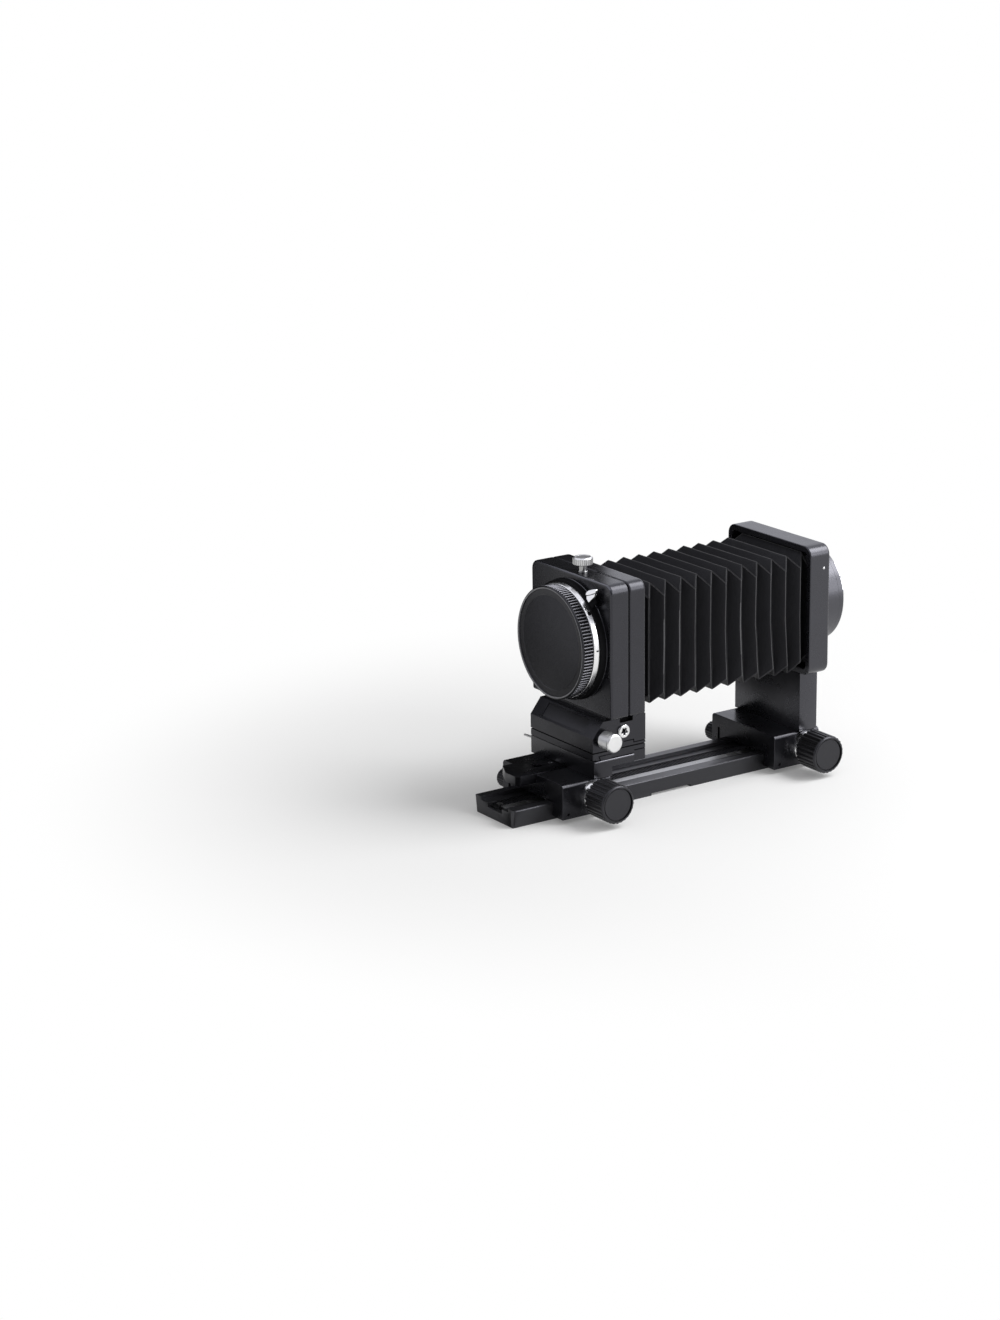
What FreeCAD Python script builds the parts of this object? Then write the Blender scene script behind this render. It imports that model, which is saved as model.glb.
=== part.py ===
import FreeCAD, Part
import math
import os

Vec = FreeCAD.Vector
os.makedirs("parts", exist_ok=True)

# Millimetres. X runs across the rail, Y from the lens end to the camera end, Z up.
# The origin is the mouth of the tripod thread, in the middle of the rail's underside.

# Fits
RUN = 0.05                      # radial play of a turning or sliding fit
FREE = 0.3                      # gap between pieces that pass each other
SKIN = 0.1                      # how far a cutting body stands out of a face it opens
FULL_TURN_DEG = 360.0

# Rail: a dovetail bar, narrower below, with a stepped channel in its top
RAIL_FRONT = -102.0
RAIL_REAR = 97.0
RAIL_HALF_TOP = 17.9
RAIL_LEAN = 1.3                 # how much narrower the foot is on each side
RAIL_HALF_BASE = RAIL_HALF_TOP - RAIL_LEAN
RAIL_TOP = 9.6
RAIL_BEVEL = 0.5
RIDGE_WIDTH = 5.6
RIDGE_HEIGHT = 1.9
LEDGE_WIDTH = 5.8
RIDGE_INNER = RAIL_HALF_TOP - RIDGE_WIDTH
LEDGE_INNER = RIDGE_INNER - LEDGE_WIDTH
LEDGE_Z = RAIL_TOP - RIDGE_HEIGHT
CHANNEL_Z = 5.2
UNDERCUT_HALF = 13.0            # shallow cut across the underside
UNDERCUT_DEPTH = 1.4
TRIPOD_PAD_R = 9.0
TRIPOD_BUSH_R = 5.0
TRIPOD_BORE_R = 2.55            # minor radius of the 1/4-20 thread

# Rack and pinions: module 0.5, 20 degree teeth
MODULE = 0.5
PRESSURE = math.radians(20)
PINION_TEETH = 26
PITCH_R = MODULE * PINION_TEETH / 2
BACKLASH = 0.07                 # taken off each tooth at the pitch line
ROOT_DEPTH = 1.25 * MODULE
TIP_PLAY = 0.06
RACK_BODY = 1.5                 # rack thickness up to the pitch line
PITCH_LINE_Z = CHANNEL_Z + RACK_BODY
DRIVE_Z = PITCH_LINE_Z + PITCH_R
RACK_INNER = -0.6
RACK_X = (SKIN - LEDGE_INNER, RACK_INNER)
RACK_END_GAP = 2.0              # rail left bare at each end
RACK_Y = (RAIL_FRONT + RACK_END_GAP, RAIL_REAR - RACK_END_GAP)
RACK_SCREW_IN = 3.5             # from the rack's end
RACK_SCREW_Y = (RACK_Y[0] + RACK_SCREW_IN, RACK_Y[1] - RACK_SCREW_IN)
RACK_SCREW_HEAD = (1.8, 1.0)    # radius, height
RACK_SCREW_SHANK = (1.0, 3.6)
SCALE_THICK = 1.7
SCALE_END_GAP = 4.0
SCALE_X = (RACK_INNER + FREE, LEDGE_INNER - FREE)
SCALE_Y = (RAIL_FRONT + SCALE_END_GAP, RAIL_REAR - SCALE_END_GAP)
SCALE_TOP = CHANNEL_Z + SCALE_THICK

# Carriages: two alike, each a saddle over the rail
CARRIAGE_WALL = 9.5
CARRIAGE_HALF = RAIL_HALF_TOP + CARRIAGE_WALL
CARRIAGE_LENGTH = 30.8
CARRIAGE_BOTTOM = 2.4
POCKET_R = PITCH_R + MODULE + FREE
CARRIAGE_ROOF = 0.9             # over the pinion's pocket
CARRIAGE_TOP = DRIVE_Z + POCKET_R + CARRIAGE_ROOF
CARRIAGE_CORNER = 2.5
CARRIAGE_EDGE = 0.8
FRONT_CARRIAGE_Y = -78.2
REAR_CARRIAGE_Y = 61.5
DIMPLE = (4.5, 6.0, 0.9, 1.2)   # behind the front face, height, radius, depth

# Widths of what stands on the carriages
PEDESTAL_LAP = 1.2              # beyond the carriage on each side
REAR_COLUMN_LAP = 0.6
STANDARD_STEP = 0.4
PEDESTAL_HALF = CARRIAGE_HALF + PEDESTAL_LAP
REAR_COLUMN_HALF = CARRIAGE_HALF + REAR_COLUMN_LAP
STANDARD_HALF = PEDESTAL_HALF - STANDARD_STEP

# Focus drive, measured from a carriage's front face
DRIVE_Y = 19.5
SHAFT_R = 2.2
PINION_INSET = 0.5
PINION_X = (RACK_X[0] + PINION_INSET, RACK_X[1] - PINION_INSET)
POCKET_X = (PINION_X[0] - FREE, PINION_X[1] + FREE)
BUSH_WALL = (1.8, 1.0)          # outer bush, inner bush
BUSH_LENGTH = (8.4, 6.5)
OUTER_BUSH = (CARRIAGE_HALF - BUSH_LENGTH[0], CARRIAGE_HALF, SHAFT_R + BUSH_WALL[0])   # from x, to x, radius
INNER_BUSH = (POCKET_X[0] - FREE - BUSH_LENGTH[1], POCKET_X[0] - FREE, SHAFT_R + BUSH_WALL[1])
COLLAR_R = 8.65
COLLAR_LENGTH = 5.6
COLLAR_NECK = (CARRIAGE_HALF + SKIN, PEDESTAL_HALF + FREE, CARRIAGE_TOP - DRIVE_Z - 2 * SKIN)
COLLAR = (PEDESTAL_HALF + FREE, CARRIAGE_HALF + COLLAR_LENGTH, COLLAR_R)
KNOB_R = 10.4
KNOB_LENGTH = 16.5
KNOB = (COLLAR[1], COLLAR[1] + KNOB_LENGTH, KNOB_R)
KNOB_RIBS = 40
KNOB_RIB_DEPTH = 0.5
KNOB_LIP = 1.5
KNOB_DISH_DEPTH = 0.5
SHAFT_IN_KNOB = 11.0
SHAFT_X = (INNER_BUSH[0], KNOB[0] + SHAFT_IN_KNOB)

# Carriage lock, on the other side
LOCK_Y = 7.6
LOCK_Z = 7.6
LOCK_SCREW_R = 1.95
LOCK_NECK_LENGTH = 1.0
LOCK_LENGTH = 9.5
LOCK_NECK = (CARRIAGE_HALF + SKIN, CARRIAGE_HALF + SKIN + LOCK_NECK_LENGTH, 3.4)
LOCK_KNOB = (LOCK_NECK[1], LOCK_NECK[1] + LOCK_LENGTH, 5.3)   # distances from the middle, on the -X side
LOCK_RIBS = 22
LOCK_RIB_DEPTH = 0.4
PAD_THICK = 1.25
PAD_INNER = RAIL_HALF_TOP + RUN + SKIN
PAD_OUTER = PAD_INNER + PAD_THICK

# Column screws, up through a carriage's side walls
COLUMN_SCREW_IN = 4.6           # from the carriage's side
COLUMN_SCREW_X = CARRIAGE_HALF - COLUMN_SCREW_IN
COLUMN_SCREW_R = 1.5
COLUMN_SCREW_BITE = 4.6         # how far it reaches into the column
COLUMN_SCREW_TOP = CARRIAGE_TOP + COLUMN_SCREW_BITE
COLUMN_SCREW_HEAD = (2.6, 2.2)  # radius, height

# Tongue plate on the front carriage
TONGUE_X = (-17.5, 3.5)
TONGUE_REACH = 11.8             # in front of the carriage
TONGUE_DEEP = 12.0              # how far its thick part lies in the carriage
TONGUE_FRONT = FRONT_CARRIAGE_Y - TONGUE_REACH
TONGUE_DEEP_END = FRONT_CARRIAGE_Y + TONGUE_DEEP
TONGUE_THICK = 5.0
TONGUE_TAIL_THICK = 1.0
TONGUE_Z = (CARRIAGE_TOP + FREE - TONGUE_THICK, CARRIAGE_TOP + FREE)
TONGUE_TAIL_Z = TONGUE_Z[1] - TONGUE_TAIL_THICK
TONGUE_LEFT_CUT = (10.0, 5.0)
TONGUE_RIGHT_CUT = 2.0
TONGUE_SLOT = (-7.0, FRONT_CARRIAGE_Y + 5.2, FRONT_CARRIAGE_Y + 10.8, 1.9)   # x, front, rear, half width
TONGUE_SCREW = (-7.2, FRONT_CARRIAGE_Y + 16.6, 1.4, 0.8)  # x, y, head radius, shank radius
TONGUE_SCREW_DEPTH = (1.0, 4.0)                           # head, shank
SCREW_SLOT = (0.2, 0.4)                                   # half width, depth

# Front pedestal: a column with a table that reaches back
PEDESTAL_SETBACK = 19.2         # behind the carriage's front face
PEDESTAL_Y = (FRONT_CARRIAGE_Y + PEDESTAL_SETBACK, FRONT_CARRIAGE_Y + CARRIAGE_LENGTH)
TABLE_REACH = 14.1
TABLE_REAR = PEDESTAL_Y[1] + TABLE_REACH
TABLE_UNDER = 5.0               # room between carriage and table
TABLE_THICK = 4.4
TABLE_Z = (CARRIAGE_TOP + TABLE_UNDER, CARRIAGE_TOP + TABLE_UNDER + TABLE_THICK)
SHIFT_RIB_IN = 3.5
SHIFT_RIB_WIDTH = 8.0
SHIFT_RIB = (PEDESTAL_Y[0] + SHIFT_RIB_IN, PEDESTAL_Y[0] + SHIFT_RIB_IN + SHIFT_RIB_WIDTH, 1.0, 2.2)
FRONT_SCREW_Y = PEDESTAL_Y[0] + 8.0

# Shift lock lever, pivoted inside the pedestal's left side
LEVER_IN = (6.6, 3.0)                     # pivot from the pedestal's side and front
LEVER_PIVOT = (LEVER_IN[0] - PEDESTAL_HALF, PEDESTAL_Y[0] + LEVER_IN[1])
LEVER_UNDER = 1.9                         # below the table's top
LEVER_Z = TABLE_Z[1] - LEVER_UNDER
LEVER_HUB = (1.6, LEVER_Z - 1.1, LEVER_Z + 1.1)   # radius, bottom, top
LEVER_ARM_R = 0.65
LEVER_REACH = 14.2
LEVER_REST_DEG = 8.0
LEVER_SLOT_HALF = (2.6, LEVER_ARM_R + 0.2)        # across Y, across Z

# Shift plate, which slides across the table
SHIFT_HOOK = 7.6                # its reach behind the table
STANDARD_Y = (PEDESTAL_Y[0] - 0.5, TABLE_REAR + SHIFT_HOOK)
SHIFT_THICK = 4.7
SHIFT_TOP = TABLE_Z[1] + SHIFT_THICK

# Lens panel, front to back: two slabs with the lens axis through their middle
SLAB_SETBACK = 6.5              # behind the front of the block below
FRONT_SLAB_THICK = 11.5
REAR_SLAB_THICK = 10.0
SLAB_GROOVE = (0.5, 2.5)        # width, depth of the groove between the slabs
FRONT_SLAB_Y = (STANDARD_Y[0] + SLAB_SETBACK, STANDARD_Y[0] + SLAB_SETBACK + FRONT_SLAB_THICK)
REAR_SLAB_Y = (FRONT_SLAB_Y[1] + SLAB_GROOVE[0], FRONT_SLAB_Y[1] + SLAB_GROOVE[0] + REAR_SLAB_THICK)

# Swing block, which turns on the shift plate and carries the lens panel
PIVOT_Y = FRONT_SLAB_Y[1]
PIVOT_R = 4.5
PIVOT_SINK = 4.0                # into the shift plate
PIVOT_RISE = 7.5                # into the block
PIVOT_Z = (SHIFT_TOP - PIVOT_SINK, SHIFT_TOP + PIVOT_RISE)
SWING_HEIGHT = 15.9
SWING_TOP = SHIFT_TOP + SWING_HEIGHT
NOSE_TOP_Y = FRONT_SLAB_Y[0]
NOSE_DROP = 8.4
NOSE_FRONT_Z = SWING_TOP - NOSE_DROP
NAME_MARGIN = 9.2               # from the block's sides
NAME_HALF = STANDARD_HALF - NAME_MARGIN
NAME_SPAN = (1.2, 9.4)                    # down the slope
NAME_DEPTH = (0.35, 0.75)                 # face and floor of the panel under the slope
LAND_HEIGHT = 2.7
LAND = (STANDARD_HALF - 1.2, FRONT_SLAB_Y[0] + 2.5, REAR_SLAB_Y[1] - 0.5)   # half width, front, rear
NOTCH_DEPTH = 2.5
SIDE_NOTCH = (PIVOT_Y - 0.7, PIVOT_Y + 7.6, SWING_TOP - NOTCH_DEPTH, STANDARD_HALF - NOTCH_DEPTH)
SWING_KNOB_YZ = (FRONT_SLAB_Y[0], SHIFT_TOP + 6.9)
SWING_KNOB_LENGTH = 9.0
SWING_NECK = (STANDARD_HALF + SKIN, STANDARD_HALF + 1.8, 3.0)
SWING_KNOB = (SWING_NECK[1], SWING_NECK[1] + SWING_KNOB_LENGTH, 5.0)
SWING_SCREW_LENGTH = 10.2
SWING_SCREW = (STANDARD_HALF - SWING_SCREW_LENGTH, 1.9)
SWING_RIBS = 28
SWING_RIB_DEPTH = 0.3
SOCKET_YZ = (PIVOT_Y + 1.5, SHIFT_TOP + 8.7)
SOCKET_LIP = 1.3
SOCKET_DEPTH = 6.2
SOCKET_RING = (STANDARD_HALF, STANDARD_HALF + SOCKET_LIP, 3.75)
SOCKET_BODY = (STANDARD_HALF - SOCKET_DEPTH, STANDARD_HALF, 2.8)
SOCKET_BORE_R = 1.9
PLUNGER_LENGTH = 7.8
PLUNGER_R = 1.2
PLUNGER = (SOCKET_BODY[0] - 2 * SKIN - PLUNGER_LENGTH, SOCKET_BODY[0] - 2 * SKIN, PLUNGER_R)
PLUNGER_TRAVEL = 4.0

# Bellows section
FOLD_HALF = 31.2                          # half width over the ridges
FOLD_DEPTH = 6.2
FOLD_WALL = 1.2
BELLOWS_FRAME_STEP = 1.7                  # ridges beyond the end frames
BELLOWS_FRAME_BORDER = 7.0
BELLOWS_FRAME_HALF = FOLD_HALF - BELLOWS_FRAME_STEP
BELLOWS_OPENING_HALF = BELLOWS_FRAME_HALF - BELLOWS_FRAME_BORDER

# Slab section
RECESS_ROOM = 1.0                         # round the folds, in the rear frame
FRAME_WALL = 3.3
RECESS_HALF = FOLD_HALF + RECESS_ROOM
SLAB_HALF = RECESS_HALF + FRAME_WALL
SLAB_HEIGHT_HALF = SLAB_HALF + SKIN
SLAB_CORNER = 4.8
AXIS_Z = SWING_TOP + LAND_HEIGHT + SLAB_HEIGHT_HALF
SLAB_TOP = AXIS_Z + SLAB_HEIGHT_HALF
SPACER_HALF = SLAB_HALF - SLAB_GROOVE[1]
LIGHT_BORE_R = 22.0

# Lens bayonet
RING_R = 31.5
RING_THICK = 2.9
BOSS_LIP = 2.0
BOSS_HEIGHT = 1.6
BOSS = (FRONT_SLAB_Y[0] - BOSS_HEIGHT, RING_R + BOSS_LIP)   # front face, radius
RING = (BOSS[0] - RING_THICK, BOSS[0], RING_R)              # front, rear, radius
THROAT_R = 23.5
TABS = 3
TAB_Y = (RING[0] + 0.3, RING[1] - 0.8)
TAB_R = THROAT_R - 0.9
TAB_DEG = 58.0
LOCK_PIN_RADIUS = 27.5
LOCK_PIN_REACH = 1.3                      # out of the ring's face
LOCK_PIN_SINK = 3.0                       # into the slab
LOCK_PIN = (RING[0] - LOCK_PIN_REACH, FRONT_SLAB_Y[0] + LOCK_PIN_SINK, 1.2)
LOCK_PIN_TRAVEL = 1.5
LOCK_PIN_DEG = -20.0
RELEASE_Y = (RING[0] + 2 * FREE, RING[1] - SKIN - RUN)
RELEASE_FOOT = (RING_R + FREE, RING_R + 1.9, 48.0, 16.0)    # inner, outer radius, middle and span in degrees
RELEASE_WEDGE = ((1.1, 45.6), (8.9, 44.9), (13.1, 48.8), (5.1, 57.6), (1.5, 50.5))   # beyond the ring, degrees
DIAPHRAGM = (FRONT_SLAB_Y[0] + 5.5, FRONT_SLAB_Y[0] + 7.5, LIGHT_BORE_R - SKIN, LIGHT_BORE_R - 3.0)
DIAPHRAGM_PIN = (DIAPHRAGM[3] + 0.5, 0.7, RING[0])          # at radius, radius, front
DIAPHRAGM_DEG = 200.0

# Body cap
CAP_R = 30.0
CAP_THICK = 7.7
CAP = (RING[0] - RUN - CAP_THICK, RING[0] - RUN, CAP_R)
CAP_RIM = 1.0
CAP_DISH = 0.7
CAP_WALL = 2.0
CAP_RIBS = 96
CAP_RIB_DEPTH = 0.35
CAP_SLEEVE_WALL = 1.5
CAP_SLEEVE = (TAB_R - FREE, TAB_R - FREE - CAP_SLEEVE_WALL, RING[0] + 3.9)          # outer, inner, rear end
CAP_LUG = (TAB_Y[1] + 2 * SKIN, TAB_Y[1] + 1.2, THROAT_R - 2 * SKIN, 46.0)         # front, rear, radius, degrees
CAP_GROOVE = (LOCK_PIN_RADIUS - 1.5, LOCK_PIN_RADIUS + 1.5, LOCK_PIN_REACH + 0.4)   # inner, outer, depth

# Top clamp screw
CLAMP_XY = (2.75, FRONT_SLAB_Y[0] + 5.8)
CLAMP_NECK_HEIGHT = 6.45
CLAMP_NECK = (2.45, SLAB_TOP + RUN, SLAB_TOP + RUN + CLAMP_NECK_HEIGHT)
CLAMP_HEAD = (5.1, 3.2)
CLAMP_SINK = 8.3
CLAMP_SHANK = (1.55, SLAB_TOP - CLAMP_SINK)
CLAMP_RIBS = 30
CLAMP_RIB_DEPTH = 0.3

# Rear standard
REAR_SETBACK = 16.5             # behind the carriage's front face
REAR_COLUMN_THICK = 11.9
REAR_FRAME_THICK = 13.15
REAR_COLUMN_Y = (REAR_CARRIAGE_Y + REAR_SETBACK, REAR_CARRIAGE_Y + REAR_SETBACK + REAR_COLUMN_THICK)
REAR_SCREW_Y = REAR_COLUMN_Y[0] + 9.2
REAR_FRAME_Y = (REAR_COLUMN_Y[0], REAR_COLUMN_Y[0] + REAR_FRAME_THICK)
REAR_FRAME_CORNER = 5.5
RECESS_DEPTH = 5.0
RECESS_FLOOR = REAR_FRAME_Y[0] + RECESS_DEPTH
SPIGOT_R = LIGHT_BORE_R + 3.0
SPIGOT_FRONT = RECESS_FLOOR + 1.6
BARREL_R = 27.0
BARREL_LENGTH = 14.3
BARREL = (REAR_FRAME_Y[1] + RUN, REAR_FRAME_Y[1] + RUN + BARREL_LENGTH, BARREL_R)
BARREL_BORE_R = LIGHT_BORE_R - 2.0
FLANGE_THICK = 3.0
CAMERA_FLANGE = (BARREL[1], BARREL[1] + FLANGE_THICK, BARREL_R)
CAMERA_TUBE = (CAMERA_FLANGE[1] + 4.5, BARREL_BORE_R + 1.8)
CAMERA_LUG = (CAMERA_TUBE[0] - 1.5, CAMERA_TUBE[0], CAMERA_TUBE[1] + 1.5, 52.0)
CAMERA_LUG_FIRST_DEG = 30.0
SIDE_SCREW = (REAR_FRAME_Y[0] + 9.1, AXIS_Z + 23.3, 0.9, 3.0)     # y, z, radius, length

# Bellows from end to end
FRONT_PLATE = 1.5               # thickness of the bellows' front frame
REAR_PLATE = 2.0
BELLOWS_Y = (REAR_SLAB_Y[1] + FRONT_PLATE, RECESS_FLOOR - REAR_PLATE)
FOLD_LEAD = (3.8, 1.175)        # from each end to the nearest ridge
FOLD_COUNT = 11
FOLD_CUT_COUNTS = (1, 2, 6)     # side ridges where the bellows is divided
FOLD_FIRST = BELLOWS_Y[0] + FOLD_LEAD[0]
FOLD_PITCH = (BELLOWS_Y[1] - FOLD_LEAD[1] - FOLD_FIRST) / (FOLD_COUNT - 0.5)


# ---- shapes ----

def box(x0, x1, y0, y1, z0, z1):
    return Part.makeBox(x1 - x0, y1 - y0, z1 - z0, Vec(x0, y0, z0))


def rod(axis, start, end, radius, a=0.0, b=0.0):
    """A cylinder along X at (y, z) = (a, b), along Y at (x, z), or along Z at (x, y)."""
    base = {"x": Vec(start, a, b), "y": Vec(a, start, b), "z": Vec(a, b, start)}[axis]
    way = {"x": Vec(1, 0, 0), "y": Vec(0, 1, 0), "z": Vec(0, 0, 1)}[axis]
    return Part.makeCylinder(radius, end - start, base, way)


def tube(axis, start, end, outer, inner, a=0.0, b=0.0):
    return rod(axis, start, end, outer, a, b).cut(rod(axis, start - SKIN, end + SKIN, inner, a, b))


def face_of(points):
    return Part.Face(Part.makePolygon(points + [points[0]]))


def along_x(outline, x0, x1):
    """An outline of (y, z) points, drawn out from x0 to x1."""
    return face_of([Vec(x0, y, z) for y, z in outline]).extrude(Vec(x1 - x0, 0, 0))


def along_y(outline, y0, y1):
    """An outline of (x, z) points, drawn out from y0 to y1."""
    return face_of([Vec(x, y0, z) for x, z in outline]).extrude(Vec(0, y1 - y0, 0))


def along_z(outline, z0, z1):
    """An outline of (x, y) points, drawn out from z0 to z1."""
    return face_of([Vec(x, y, z0) for x, y in outline]).extrude(Vec(0, 0, z1 - z0))


def ribbed(radius, depth, count):
    """The outline of a ribbed round, centred on its axis: ridges with flat lands and V grooves."""
    points = []
    for i in range(count):
        for share, r in ((0.0, radius - depth), (0.28, radius), (0.72, radius)):
            angle = 2 * math.pi * (i + share) / count
            points.append((r * math.cos(angle), r * math.sin(angle)))
    return points


def sector(y0, y1, inner, outer, middle_deg, span_deg):
    """A ring segment about the lens axis, seen from the front, with angles counted from +X towards +Z."""
    ring = tube("y", y0, y1, outer, inner, 0, AXIS_Z)
    reach = 2 * outer
    first, last = [math.radians(middle_deg + side * span_deg / 2) for side in (-1, 1)]
    middle = math.radians(middle_deg)
    wedge = [(0, AXIS_Z)]
    for angle in (first, middle, last):
        wedge.append((reach * math.cos(angle), AXIS_Z + reach * math.sin(angle)))
    return ring.common(along_y(wedge, y0 - SKIN, y1 + SKIN))


def polar(radius, degrees):
    """The (x, z) place at a radius and angle about the lens axis."""
    return (radius * math.cos(math.radians(degrees)), AXIS_Z + radius * math.sin(math.radians(degrees)))


def edges_along(shape, direction, wanted):
    found = []
    for edge in shape.Edges:
        if not isinstance(edge.Curve, Part.Line):
            continue
        if abs(abs(edge.Curve.Direction.dot(direction)) - 1) < 1e-6 and wanted(edge.CenterOfMass):
            found.append(edge)
    return found


def rounded_slab(half, half_height, y0, y1, corner):
    slab = box(-half, half, y0, y1, AXIS_Z - half_height, AXIS_Z + half_height)
    return slab.makeFillet(corner, edges_along(slab, Vec(0, 1, 0), lambda c: True))


def save(shape, name):
    solid = shape.removeSplitter()
    if len(solid.Solids) != 1 or not solid.isValid():
        print(name, "has", len(solid.Solids), "solids, valid:", solid.isValid())
    solid.exportStep("parts/" + name + ".step")


# ---- rail ----

def rail_outline(grow=0.0):
    """Half of the rail's outer profile, from its foot up, for the +X side."""
    return [(RAIL_HALF_BASE + grow, 0.0), (RAIL_HALF_TOP + grow, RAIL_TOP - RAIL_BEVEL),
            (RAIL_HALF_TOP - RAIL_BEVEL + grow, RAIL_TOP + grow)]


def rail():
    right = rail_outline()
    right += [(RIDGE_INNER, RAIL_TOP), (RIDGE_INNER, LEDGE_Z), (LEDGE_INNER, LEDGE_Z), (LEDGE_INNER, CHANNEL_Z)]
    left = [(-x, z) for x, z in reversed(right)]
    bar = along_y(right + left, RAIL_FRONT, RAIL_REAR)
    undercut = box(-RAIL_HALF_TOP, RAIL_HALF_TOP, -UNDERCUT_HALF, UNDERCUT_HALF, -SKIN, UNDERCUT_DEPTH)
    bar = bar.cut(undercut.cut(rod("z", -2 * SKIN, UNDERCUT_DEPTH + SKIN, TRIPOD_PAD_R)))
    bar = bar.cut(rod("z", -SKIN, CHANNEL_Z + SKIN, TRIPOD_BUSH_R))
    middle = sum(RACK_X) / 2
    for y in RACK_SCREW_Y:
        radius, depth = RACK_SCREW_SHANK
        bar = bar.cut(rod("z", CHANNEL_Z - depth, CHANNEL_Z + SKIN, radius, middle, y))
    return bar


def tripod_bush():
    return tube("z", 0.0, CHANNEL_Z, TRIPOD_BUSH_R, TRIPOD_BORE_R)


def rack():
    """Straight teeth across the rail, cut in one strip."""
    pitch = math.pi * MODULE
    half = pitch / 4 - BACKLASH / 2
    lean = math.tan(PRESSURE)
    root_z = PITCH_LINE_Z - ROOT_DEPTH
    tip_z = PITCH_LINE_Z + MODULE
    at_root = half + ROOT_DEPTH * lean
    at_tip = half - MODULE * lean
    outline = [(RACK_Y[0], CHANNEL_Z), (RACK_Y[0], root_z)]
    for i in range(rack_teeth()):
        centre = rack_tooth_y(i)
        outline += [(centre - at_root, root_z), (centre - at_tip, tip_z)]
        outline += [(centre + at_tip, tip_z), (centre + at_root, root_z)]
    outline += [(RACK_Y[1], root_z), (RACK_Y[1], CHANNEL_Z)]
    strip = along_x(outline, *RACK_X)
    middle = sum(RACK_X) / 2
    for y in RACK_SCREW_Y:
        strip = strip.cut(rod("z", CHANNEL_Z - SKIN, tip_z + SKIN, RACK_SCREW_SHANK[0], middle, y))
        head_radius, head_height = RACK_SCREW_HEAD
        strip = strip.cut(rod("z", tip_z - SKIN - head_height, tip_z + SKIN, head_radius, middle, y))
    return strip


def rack_teeth():
    return int((RACK_Y[1] - RACK_Y[0]) / (math.pi * MODULE)) - 1


def rack_tooth_y(i):
    return RACK_Y[0] + math.pi * MODULE * (i + 1)


def rack_screw(y):
    middle = sum(RACK_X) / 2
    top = PITCH_LINE_Z + MODULE - SKIN
    head_radius, head_height = RACK_SCREW_HEAD
    radius, depth = RACK_SCREW_SHANK
    head = rod("z", top - head_height, top, head_radius, middle, y)
    return head.fuse(rod("z", CHANNEL_Z - depth, top - head_height, radius, middle, y))


def scale_plate():
    return box(*SCALE_X, *SCALE_Y, CHANNEL_Z, SCALE_TOP)


# ---- carriages and what is on both of them ----

def carriage(front, screw_y):
    rear = front + CARRIAGE_LENGTH
    block = box(-CARRIAGE_HALF, CARRIAGE_HALF, front, rear, CARRIAGE_BOTTOM, CARRIAGE_TOP)
    block = block.makeFillet(CARRIAGE_CORNER, edges_along(block, Vec(0, 0, 1), lambda c: True))
    top = [e for e in block.Edges if abs(e.CenterOfMass.z - CARRIAGE_TOP) < 1e-6]
    block = block.makeFillet(CARRIAGE_EDGE, top)
    right = rail_outline(RUN)
    right[0] = (RAIL_HALF_BASE + RUN, -SKIN)
    left = [(-x, z) for x, z in reversed(right)]
    block = block.cut(along_y(right + left, front - SKIN, rear + SKIN))
    axis = (front + DRIVE_Y, DRIVE_Z)
    pocket = rod("x", *POCKET_X, POCKET_R, *axis)
    pocket = pocket.fuse(box(*POCKET_X, axis[0] - POCKET_R, axis[0] + POCKET_R, RAIL_TOP, axis[1]))
    block = block.cut(pocket)
    block = block.cut(rod("x", POCKET_X[1] - SKIN, OUTER_BUSH[0], SHAFT_R + FREE, *axis))
    block = block.cut(rod("x", OUTER_BUSH[0], OUTER_BUSH[1] + SKIN, OUTER_BUSH[2], *axis))
    block = block.cut(rod("x", INNER_BUSH[0], POCKET_X[0] + SKIN, INNER_BUSH[2], *axis))
    lock = (front + LOCK_Y, LOCK_Z)
    block = block.cut(rod("x", -CARRIAGE_HALF - SKIN, -RAIL_HALF_BASE, LOCK_SCREW_R + RUN, *lock))
    dimple_y, dimple_z, radius, depth = DIMPLE
    dimple = rod("x", CARRIAGE_HALF - depth, CARRIAGE_HALF + SKIN, radius, front + dimple_y, dimple_z)
    block = block.cut(dimple)
    for x in (-COLUMN_SCREW_X, COLUMN_SCREW_X):
        radius, height = COLUMN_SCREW_HEAD
        block = block.cut(rod("z", CARRIAGE_BOTTOM, CARRIAGE_TOP + SKIN, COLUMN_SCREW_R, x, screw_y))
        block = block.cut(rod("z", CARRIAGE_BOTTOM - SKIN, CARRIAGE_BOTTOM + height, radius, x, screw_y))
    return block


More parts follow.
